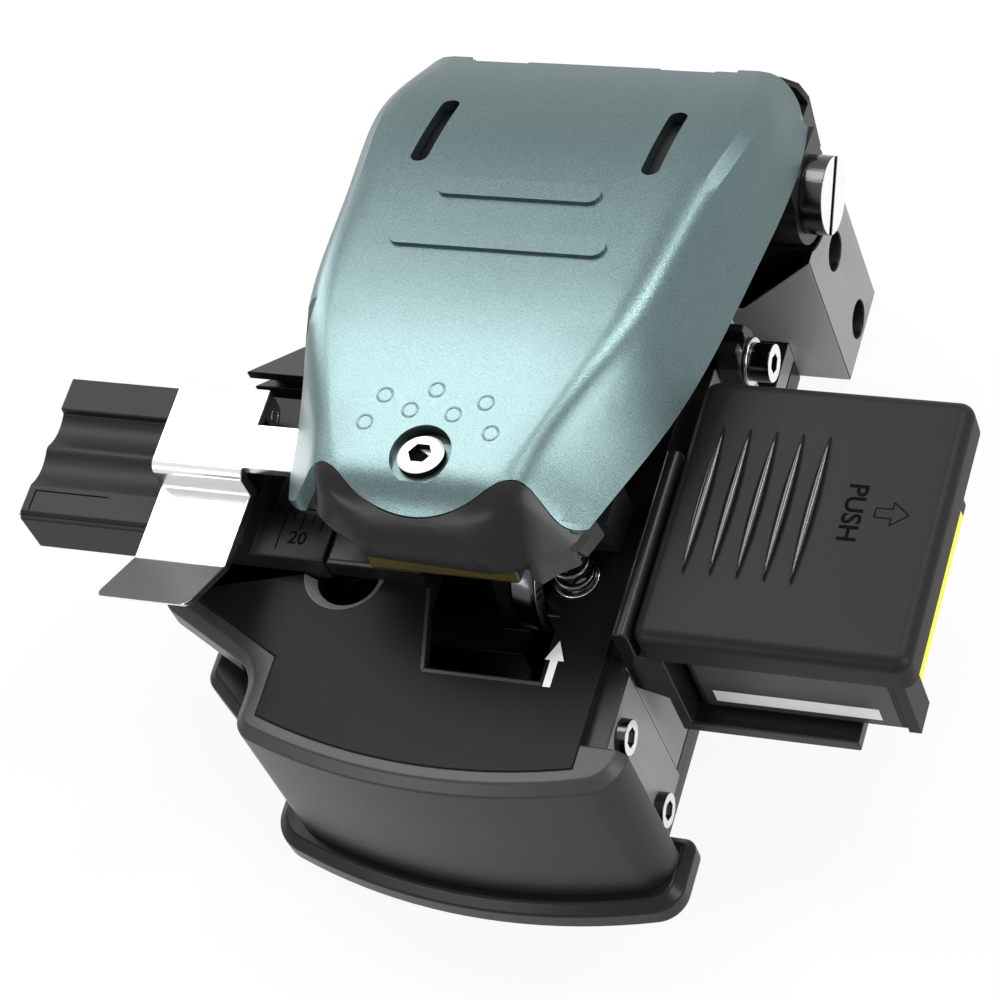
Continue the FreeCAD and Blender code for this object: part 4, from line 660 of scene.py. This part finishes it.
# Pale ends are a painted highlight, dark sides a painted dark reflection.
finished("pivot_pin", 0.00015, (faced_steel, dark_steel), highlight_ends_dark_sides, shape=pin_shape)
finished("latch_bolt", 0.00012, (faced_steel, dark_steel), highlight_ends_dark_sides)
finished("side_screws", 0.00012, (faced_steel, dark_steel), highlight_ends_dark_sides)
finished("latch_washer", 0.0001, (screw_steel,))
finished("latch_lever", 0.0002, (body_black,))
exact("cover_screw", (faced_steel, engraved), hex_painted_shade)
finished("foot_screws", 0.0001, (screw_steel,))
finished("wheel_screw", 0.0001, (screw_steel,))
finished("spring_ring", 0.0001, (screw_steel,))
finished("guide_rail", 0.00015, (stainless,))
# The wheel takes the dark steel too, a painted dark reflection.
finished("score_wheel", 0.00008, (dark_steel,))

# %% [markdown]
# ## The waste bin
# Tray and lid are moulded, so their edges are rounder than the machined ones. The lid's ribs are
# glossy and crowned, and painted darker than the lid as painted shade. Their flat tops are found by
# their height, each row of points gives a rib's left and right edge, and a closed lens is laid over
# them.

# %% Finish the bin
finished("bin_tray", 0.0004, (bin_plastic,))
lid = exact("bin_lid", (bin_plastic,))
print("lid faces:", len(lid.data.polygons))


# %% Find the ribs
def islands(faces):
    """Groups of faces that hang together by their edges."""
    left = set(faces)
    for seed in faces:
        island, fresh = set(), [seed] if seed in left else []
        left.discard(seed)
        while fresh:
            face = fresh.pop()
            island.add(face)
            near = {f for edge in face.edges for f in edge.link_faces} & left
            left -= near
            fresh.extend(near)
        if island:
            yield island


def rib_rows(mesh, level):
    """Depth, left and right edge of every rib, row by row, from its flat top above that level."""
    shape = bmesh.new()
    shape.from_mesh(mesh)
    tops = [f for f in shape.faces if f.calc_center_median().z > level and f.normal.z > 0.9]
    found = []
    for island in islands(tops):
        rows = {}
        for vertex in {v for face in island for v in face.verts}:
            rows.setdefault(round(vertex.co.y, 5), []).append(vertex.co.x)
        found.append([(y, min(xs), max(xs)) for y, xs in sorted(rows.items())])
    shape.free()
    return found


ribs = rib_rows(lid.data, 0.0365)
print("ribs:", len(ribs), "rows:", len(ribs[0]))


# %% Crown the ribs
def domes(ribs, floor_level, rise, columns=6):
    """A closed lens over each rib: a curved top and a flat underside."""
    shape = bmesh.new()
    for rows in ribs:
        widest = max(right - left for y, left, right in rows)
        grid = []
        for y, left, right in rows:
            line = []
            for k in range(columns + 1):
                share = k / columns
                lift = rise * (1 - (2 * share - 1) ** 2) * (right - left) / widest
                spot = (left + share * (right - left), y, floor_level + lift)
                line.append(shape.verts.new(spot))
            grid.append(line)
        for low, high in zip(grid, grid[1:]):
            for k in range(columns):
                shape.faces.new((low[k], low[k + 1], high[k + 1], high[k]))
            shape.faces.new((low[0], high[0], high[columns], low[columns]))
    bmesh.ops.remove_doubles(shape, verts=shape.verts, dist=1e-6)
    bmesh.ops.recalc_face_normals(shape, faces=shape.faces)
    return as_mesh("domes", shape, smooth=True)


as_piece("lid_ribs", domes(ribs, 0.0366, 0.0004), "bin_lid", "bin_plastic", rib_black)
print("crowned ribs:", len(ribs))

# %% [markdown]
# ## Patterns that grow
# What repeats is grown by Geometry Nodes: the rings on the cover, the marks on the scale and the
# coil of the spring. A tree has named sizes, so a pattern can be changed without touching its
# nodes. It ends in Realize Instances and Set Material, and the result is kept as a plain mesh.


# %% A pattern and its sizes
class Pattern(Web):
    def __init__(self, name, sizes):
        super().__init__(bpy.data.node_groups.new(name, "GeometryNodeTree"))
        self.sizes = sizes
        sockets = self.tree.interface
        sockets.new_socket("Geometry", in_out="INPUT", socket_type="NodeSocketGeometry")
        sockets.new_socket("Geometry", in_out="OUTPUT", socket_type="NodeSocketGeometry")
        for size in sizes:
            sockets.new_socket(size, in_out="INPUT", socket_type="NodeSocketFloat")
        self.enter = self.tree.nodes.new("NodeGroupInput")
        self.leave = self.tree.nodes.new("NodeGroupOutput")

    def given(self, name):
        """One of the pattern's sizes, or the geometry that it grows on."""
        return Value(self, self.enter.outputs[name])

    def grow(self, mesh, geometry, material):
        """End the tree, run it on a mesh and return the plain result."""
        real = self.node("GeometryNodeRealizeInstances", None, {"Geometry": geometry})
        dressed = self.node("GeometryNodeSetMaterial", None,
                            {"Geometry": real, "Material": material})
        self.put(self.leave, {"Geometry": dressed})

        def pattern(carrier):
            modifier = carrier.modifiers.new("pattern", "NODES")
            modifier.node_group = self.tree
            for item in self.tree.interface.items_tree:
                if item.name in self.sizes:
                    modifier[item.identifier] = float(self.sizes[item.name])

        result = evaluated(mesh, pattern)
        result.materials.clear()
        return result


def points_mesh(places, **vectors):
    """Loose points, each with a vector by name, for a pattern to grow on."""
    mesh = bpy.data.meshes.new("points")
    mesh.from_pydata([tuple(p) for p in places], [], [])
    for name, values in vectors.items():
        layer = mesh.attributes.new(name, "FLOAT_VECTOR", "POINT")
        layer.data.foreach_set("vector", [c for value in values for c in value])
    return mesh


print("the pattern kit is ready")

# %% [markdown]
# ## Rings on the cover
# Seven small rings are pressed into the cover in two rows round the screw, where the thumb rests.
# A ray is dropped on the cover at each place, and the surface's own direction tilts the ring.

# %% Drop the rings on the cover
ring_places = ((-7.7, -5.2), (-6.3, -1.6), (-2.8, -3.2), (-0.4, -0.4), (2.4, -3.3), (5.8, -1.5),
               (7.4, -5.2))
above_cover, sunk = 90, 0.00009
cover_tree = BVHTree.FromPolygons([v.co for v in cover.data.vertices],
                                  [tuple(p.vertices) for p in cover.data.polygons])
spots, tilts = [], []
for x, y in ring_places:
    high_point = Vector((x, y, above_cover)) / 1000
    spot, tilt, face, distance = cover_tree.ray_cast(high_point, Vector((0, 0, -1)))
    spots.append(spot - sunk * tilt)
    tilts.append(tilt)
print("rings at", [[round(1000 * v, 1) for v in spot] for spot in spots[:2]], "and on")

# %% Grow the rings
rings = Pattern("pressed_rings", {"Radius": 0.00088, "Wire": 0.00017})
circle = rings.node("GeometryNodeCurvePrimitiveCircle", None,
                    {"Resolution": 40, "Radius": rings.given("Radius")})
wire = rings.node("GeometryNodeCurvePrimitiveCircle", None,
                  {"Resolution": 10, "Radius": rings.given("Wire")})
hoop = rings.node("GeometryNodeCurveToMesh", None, {"Curve": circle, "Profile Curve": wire})
smooth = rings.node("GeometryNodeSetShadeSmooth", None, {"Geometry": hoop})
tilt = rings.node("GeometryNodeInputNamedAttribute", {"data_type": "FLOAT_VECTOR"},
                  {"Name": "tilt"})
turned = rings.node("FunctionNodeAlignRotationToVector", {"axis": "Z"}, {"Vector": tilt})
laid = rings.node("GeometryNodeInstanceOnPoints", None, {
    "Points": rings.given("Geometry"), "Instance": smooth, "Rotation": turned})
ring_mesh = rings.grow(points_mesh(spots, tilt=tilts), laid, teal)
as_piece("cover_rings", ring_mesh, "arm", "cover_teal", teal)
print("rings:", len(spots), "faces:", len(ring_mesh.polygons))

# %% [markdown]
# ## The return spring
# A coil spring lifts the arm. Its wire follows a spiral curve between the ring in the deck and the
# frame's underside. When the arm closes the real spring is squeezed to a little over half of its
# height; this coil is wound at one height only.

# %% Wind the spring
spring_low, spring_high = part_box("return_spring")
spring_middle = (spring_low + spring_high) / 2
wire_radius = 0.00042
coil = Pattern("coil", {"Turns": 7.0, "Coil radius": 0.00195, "Wire": wire_radius,
                        "Height": spring_high[2] - spring_low[2] - 2 * wire_radius})
spiral = coil.node("GeometryNodeCurveSpiral", None, {
    "Resolution": 28, "Rotations": coil.given("Turns"), "Start Radius": coil.given("Coil radius"),
    "End Radius": coil.given("Coil radius"), "Height": coil.given("Height")})
section = coil.node("GeometryNodeCurvePrimitiveCircle", None,
                    {"Resolution": 12, "Radius": coil.given("Wire")})
wound = coil.node("GeometryNodeCurveToMesh", None,
                  {"Curve": spiral, "Profile Curve": section, "Fill Caps": True})
smooth = coil.node("GeometryNodeSetShadeSmooth", None, {"Geometry": wound})
foot = Vector((spring_middle.x, spring_middle.y, spring_low[2] + wire_radius))
stood = coil.node("GeometryNodeTransform", None, {"Geometry": smooth, "Translation": foot})
spring_mesh = coil.grow(points_mesh([foot]), stood, spring_steel)
spring = as_piece("spring_coil", spring_mesh, "base", "spring_steel", spring_steel)
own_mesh(spring)
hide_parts("return_spring")
print("spring faces:", len(spring_mesh.polygons))

# %% [markdown]
# ## Scale on the holder
# The fibre's cut length is read on a short scale beside the clamp. Its marks are engraved lines,
# long and short by turns, and engraved lines frame the scale and the holder's groove. Dark bars
# that stand out by less than a hair's breadth look like grooves and leave the solid whole.

# %% Rule the scale
engraving = 0.00003
scale_level, holder_level = 0.0330, 0.0360
marks = Pattern("scale_marks", {"Step": 0.00125, "Long": 0.0023, "Short": 0.0013,
                                "Width": 0.0002})
start = Vector((-0.02295, -0.0061, scale_level))
step = marks.node("ShaderNodeCombineXYZ", None, {"X": marks.given("Step")})
line = marks.node("GeometryNodeMeshLine", None, {
    "Count": 4, "Start Location": start, "Offset": step})
index = marks.node("GeometryNodeInputIndex")
odd = marks.node("ShaderNodeMath", {"operation": "MODULO"}, {0: index, 1: 2.0})
reach = odd * (marks.given("Long") - marks.given("Short")) + marks.given("Short")
bar = marks.node("GeometryNodeMeshCube", None, {"Size": Vector((1, 1, engraving))})
edge = marks.node("GeometryNodeTransform", None, {
    "Geometry": bar, "Translation": Vector((0, -0.5, 0))})
mark_size = marks.node("ShaderNodeCombineXYZ", None, {
    "X": marks.given("Width"), "Y": reach, "Z": 1.0})
ruled = marks.node("GeometryNodeInstanceOnPoints", None, {
    "Points": line, "Instance": edge, "Scale": mark_size})
mark_mesh = marks.grow(points_mesh([start]), ruled, engraved)
as_piece("scale_marks", mark_mesh, "base", "holder_charcoal", engraved)
print("scale marks:", len(mark_mesh.polygons) // 6)


# %% Frame the scale and the groove
def engraved_bars(name, bars, level):
    """Thin dark bars on the holder, each given by two corners in plan, in millimetres."""
    shape = bmesh.new()
    for (x0, y0), (x1, y1) in bars:
        centre = Vector(((x0 + x1) / 2, (y0 + y1) / 2, 1000 * level)) / 1000
        size = Matrix.Diagonal((abs(x1 - x0) / 1000, abs(y1 - y0) / 1000, engraving, 1))
        bmesh.ops.create_cube(shape, size=1.0, matrix=Matrix.Translation(centre) @ size)
    as_piece(name, as_mesh(name, shape), "base", "holder_charcoal", engraved)


engraved_bars("scale_frame", (((-24.15, -11.2), (-23.95, -5.6)),
                              ((-24.15, -5.7), (-18.0, -5.55))), scale_level)
engraved_bars("holder_frame", (((-55.6, -11.2), (-55.4, -8.4)), ((-55.6, -8.6), (-45.7, -8.4)),
                               ((-56.5, -12.0), (-27.0, -11.88))), holder_level)
print("frames at", scale_level, "and", holder_level)

# %% [markdown]
# ## Letters and numbers
# Blender's own font makes them. A text becomes a mesh first, and only then are its points moved to
# their place, so that the finished piece stays at the origin.


# %% Set a word on a surface
def lettering(words, height, place, along, up, weight=0.02):
    """Mesh of a word: its middle, its reading direction and its upright direction."""
    capital_share = 0.7
    text = bpy.data.curves.new("words", "FONT")
    text.body = words
    text.size = height / capital_share
    text.align_x, text.align_y = "CENTER", "CENTER"
    text.extrude = engraving / 2
    text.offset = weight * height
    text.resolution_u = 4
    mesh = evaluated(text)
    along, up = Vector(along).normalized(), Vector(up).normalized()
    turn = Matrix((along, up, along.cross(up))).transposed().to_4x4()
    mesh.transform(Matrix.Translation(Vector(place)) @ turn)
    return mesh


def one_mesh(name, meshes):
    """Several meshes joined into one, with closed seams."""
    shape = bmesh.new()
    for mesh in meshes:
        shape.from_mesh(mesh)
        bpy.data.meshes.remove(mesh)
    bmesh.ops.remove_doubles(shape, verts=shape.verts, dist=1e-7)
    return as_mesh(name, shape)


scale_number = lettering("20", 0.00165, (-0.0217, -0.0096, scale_level), (1, 0, 0), (0, 1, 0))
as_piece("scale_number", one_mesh("scale_number", [scale_number]), "base", "holder_charcoal",
         engraved)
rib_height = 0.0004
lid_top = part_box("bin_lid")[1][2] - rib_height
push = lettering("PUSH", 0.0022, (0.0438, -0.0008, lid_top), (0, -1, 0), (1, 0, 0), weight=0.03)
as_piece("lid_word", one_mesh("lid_word", [push]), "bin_lid", "bin_plastic", engraved)
print("words set at height", round(1000 * lid_top, 2), "mm")

# %% [markdown]
# ## Numbers on the score wheel
# The wheel has sixteen positions round its edge. When one wears out, the user turns to the next.
# Odd positions carry a number and even ones a dot, on a band ground bright beside the rim.

# %% Number the wheel
wheel_low, wheel_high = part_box("score_wheel")
hub = (wheel_low + wheel_high) / 2
hub.x = wheel_high.x
positions, tenth_at = 16, 150
number_ring, dot_ring = 0.0068, 0.0079
face_middle = hub + Vector((0.00005, 0, 0))
signs = []
for position in range(positions):
    angle = math.radians(tenth_at - (position - 10) * 360 / positions)
    outward = Vector((0, math.cos(angle), math.sin(angle)))
    reading = Vector((0, math.sin(angle), -math.cos(angle)))
    if position % 2 == 0:
        signs.append(lettering(str(position + 1), 0.0013, face_middle + number_ring * outward,
                               reading, outward, weight=0.03))
    else:
        signs.append(lettering(".", 0.0030, face_middle + dot_ring * outward, reading, outward))
as_piece("wheel_numbers", one_mesh("wheel_numbers", signs), "wheel", "wheel_steel", engraved)
print("signs:", len(signs))

# %% Grind the band
segments, inner_radius, outer_radius, proud = 96, 0.0057, 0.0079, 0.00004
band = bmesh.new()
circles = [[band.verts.new(hub + Vector((lift, radius * math.cos(math.tau * k / segments),
                                         radius * math.sin(math.tau * k / segments))))
            for k in range(segments)]
           for radius, lift in ((inner_radius, 0), (inner_radius, proud), (outer_radius, proud),
                                (outer_radius, 0))]
for inner, outer in zip(circles, circles[1:] + circles[:1]):
    for k in range(segments):
        j = (k + 1) % segments
        band.faces.new((inner[k], inner[j], outer[j], outer[k]))
bmesh.ops.recalc_face_normals(band, faces=band.faces)
as_piece("wheel_band", as_mesh("wheel_band", band), "wheel", "wheel_steel", ground_steel)
print("band width in mm:", round(1000 * (outer_radius - inner_radius), 1))

# %% [markdown]
# ## Arrows, films and small patches
# All of these are cut from thin sheet: an outline in space becomes a prism of little height. A teal
# patch closes the notch in the cover's lower right corner, and a pale line along the window in the
# deck is a painted highlight on its edge. A white arrow on the deck shows which way the fibre runs,
# and an outlined one on the lid shows how it opens. The labels stay blank: a yellow film on the
# bin's end, and on its front a black one with a white field.


# %% Cut from sheet
def flat_sheet(name, corners, thickness, body, slot, material):
    """A thin prism over a flat outline; corners and thickness are in millimetres."""
    shape = bmesh.new()
    corners = [Vector(c) / 1000 for c in corners]
    normal = (corners[1] - corners[0]).cross(corners[2] - corners[1]).normalized()
    top = [shape.verts.new(c + normal * thickness / 1000) for c in corners]
    bottom = [shape.verts.new(c) for c in corners]
    shape.faces.new(top)
    shape.faces.new(list(reversed(bottom)))
    for i in range(len(corners)):
        j = (i + 1) % len(corners)
        shape.faces.new((bottom[i], bottom[j], top[j], top[i]))
    bmesh.ops.recalc_face_normals(shape, faces=shape.faces)
    return as_piece(name, as_mesh(name, shape), body, slot, material)


def ribbon(one, two, half_width):
    """Corners of a straight strip along a line from one point to another."""
    aside = Vector((one.y - two.y, two.x - one.x, 0)).normalized() * half_width
    return [one - aside, two - aside, two + aside, one + aside]


def upright(left, right, y, low, high):
    """Corners of an upright rectangle that faces the front."""
    return [(left, y, low), (right, y, low), (right, y, high), (left, y, high)]


print("ready to cut sheet")

# %% Patch the cover and mark the deck
notch = [(16.0, -11.84, 47.23), (16.86, -8.84, 47.1), (17.81, -8.39, 45.95),
         (18.48, -8.92, 44.85), (18.15, -10.25, 44.85), (17.02, -11.25, 46.05)]
flat_sheet("cover_corner", notch, 0.02, "arm", "cover_teal", teal)
ink = 0.03
deck_top = 1000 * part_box("deck_plate")[1][2]
# Pale strips along the window's edge are a painted highlight.
window = [Vector((-5.1, -12.6, deck_top)), Vector((-2.65, -23.05, deck_top)),
          Vector((11.8, -23.05, deck_top))]
for k, (one, two) in enumerate(zip(window, window[1:])):
    flat_sheet("window_highlight_%d" % k, ribbon(one, two, 0.2), ink, "base", "deck_black", rim_grey)
arrow_x = 12.5
arrow = [(-0.45, -23.3), (0.45, -23.3), (0.45, -19.9), (1.15, -19.9), (0.0, -17.4),
         (-1.15, -19.9), (-0.45, -19.9)]
flat_sheet("deck_arrow", [(arrow_x + x, y, deck_top) for x, y in arrow], ink, "base",
           "deck_black", white_print)
print("deck marks at height", round(deck_top, 2), "mm")

# %% Lay the films on the bin
tray_low, tray_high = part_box("bin_tray")
end = 1000 * tray_high[0] - 0.6
flat_sheet("end_film", [(end, -11.6, 17.5), (end, 11.0, 17.5), (end, 10.6, 23.6),
                        (end, -8.4, 23.6)], 0.05, "base", "bin_plastic", yellow_film)
front = 1000 * tray_low[1] + 0.8
# The front film takes the frame's black, so the painted light of the lip's right side makes it
# paler.
flat_sheet("front_film", upright(27.0, 49.6, front, 17.6, 28.6), 0.04, "base", "bin_plastic",
           frame_black)
flat_sheet("number_field", upright(28.2, 47.6, front - 0.05, 18.7, 21.1), ink, "base",
           "bin_plastic", white_print)
print("films at", round(end, 2), "and", round(front, 2), "mm")

# %% Outline the lid's arrow
lid_level = 1000 * lid_top
outline = [(46.4, -1.1), (48.3, -1.1), (48.3, -2.0), (50.2, -0.5), (48.3, 1.0), (48.3, 0.1),
           (46.4, 0.1)]
outline = [Vector((x, y, lid_level)) for x, y in outline]
for k, (one, two) in enumerate(zip(outline, outline[1:] + outline[:1])):
    flat_sheet("lid_arrow_%d" % k, ribbon(one, two, 0.07), ink, "bin_lid", "bin_plastic",
               engraved)
print("arrow strokes:", len(outline))

# %% [markdown]
# ## Floor and light
# The tool stands on a pale floor in a white room. The camera, metal and glass all see floor and
# walls as white, but these light the tool only as a grey room would. Soft lamps draw the ridges.


# %% Lay the floor
def room_white(name, grey):
    """A matt grey that lights as grey, and glows almost white for rays that see it."""
    f = Finish(name, Base_Color=(grey, grey, grey, 1.0), Roughness=0.9)
    glow_share = 0.92
    mixed = f.node("ShaderNodeMixShader", None, {
        0: f.seen() * glow_share, 1: Value(f, f.shader.outputs[0]),
        2: f.node("ShaderNodeEmission")})
    f.put(f.tree.nodes["Material Output"], {"Surface": mixed})
    return f.material


floor_mesh = bpy.data.meshes.new("floor")
spread = 1.5
floor_mesh.from_pydata([(-spread, -spread, 0), (spread, -spread, 0), (spread, spread, 0),
                        (-spread, spread, 0)], [], [(0, 1, 2, 3)])
floor = bpy.data.objects.new("floor", floor_mesh)
floor.location.z = cad_box[0][2]
scene.collection.objects.link(floor)
floor_mesh.materials.append(room_white("floor_white", 0.80))
print("floor at", round(1000 * floor.location.z, 2), "mm")


# %% Hang the lamps
def lamp(name, place, target, width, height, power):
    """A soft oblong lamp that faces its target, with its size in metres and its power in watts."""
    data = bpy.data.lights.new(name, "AREA")
    data.shape = "RECTANGLE"
    data.size, data.size_y, data.energy = width, height, power
    lit = bpy.data.objects.new(name, data)
    scene.collection.objects.link(lit)
    lit.location = place
    lit.rotation_euler = (Vector(target) - Vector(place)).to_track_quat("-Z", "Y").to_euler()


lamp("key_lamp", (-0.30, 0.315, 0.70), (0, 0, 0.03), 0.40, 0.50, 4.0)
lamp("ridge_strip", (0.30, 0.34, 0.62), (0.02, 0.02, 0.05), 0.06, 0.60, 3.0)
lamp("side_lamp", (0.75, -0.10, 0.30), (0, 0, 0.03), 0.25, 0.6, 3.3)
lamp("left_lamp", (-0.62, 0.34, 0.22), (0, 0, 0.05), 0.14, 0.5, 1.6)
lamp("front_lamp", (-0.40, -0.72, 0.40), (0, 0, 0.03), 0.4, 0.14, 1.8)

# %% [markdown]
# ## The room
# The world is the room itself: one even grey for light, one even white for whatever looks at it.

# %% Light the room
world = bpy.data.worlds.new("world")
scene.world = world
world.use_nodes = True
room = Web(world.node_tree)
room_light, white = 0.30, (1, 1, 1, 1)
room.put(room.tree.nodes["Background"], {
    "Color": white, "Strength": room.seen() * (1.0 - room_light) + room_light})
print("world lit")

# %% [markdown]
# ## Sizes
# The finishes are meant to keep the tool's size. The box of the solids is printed in millimetres
# when the model is loaded.
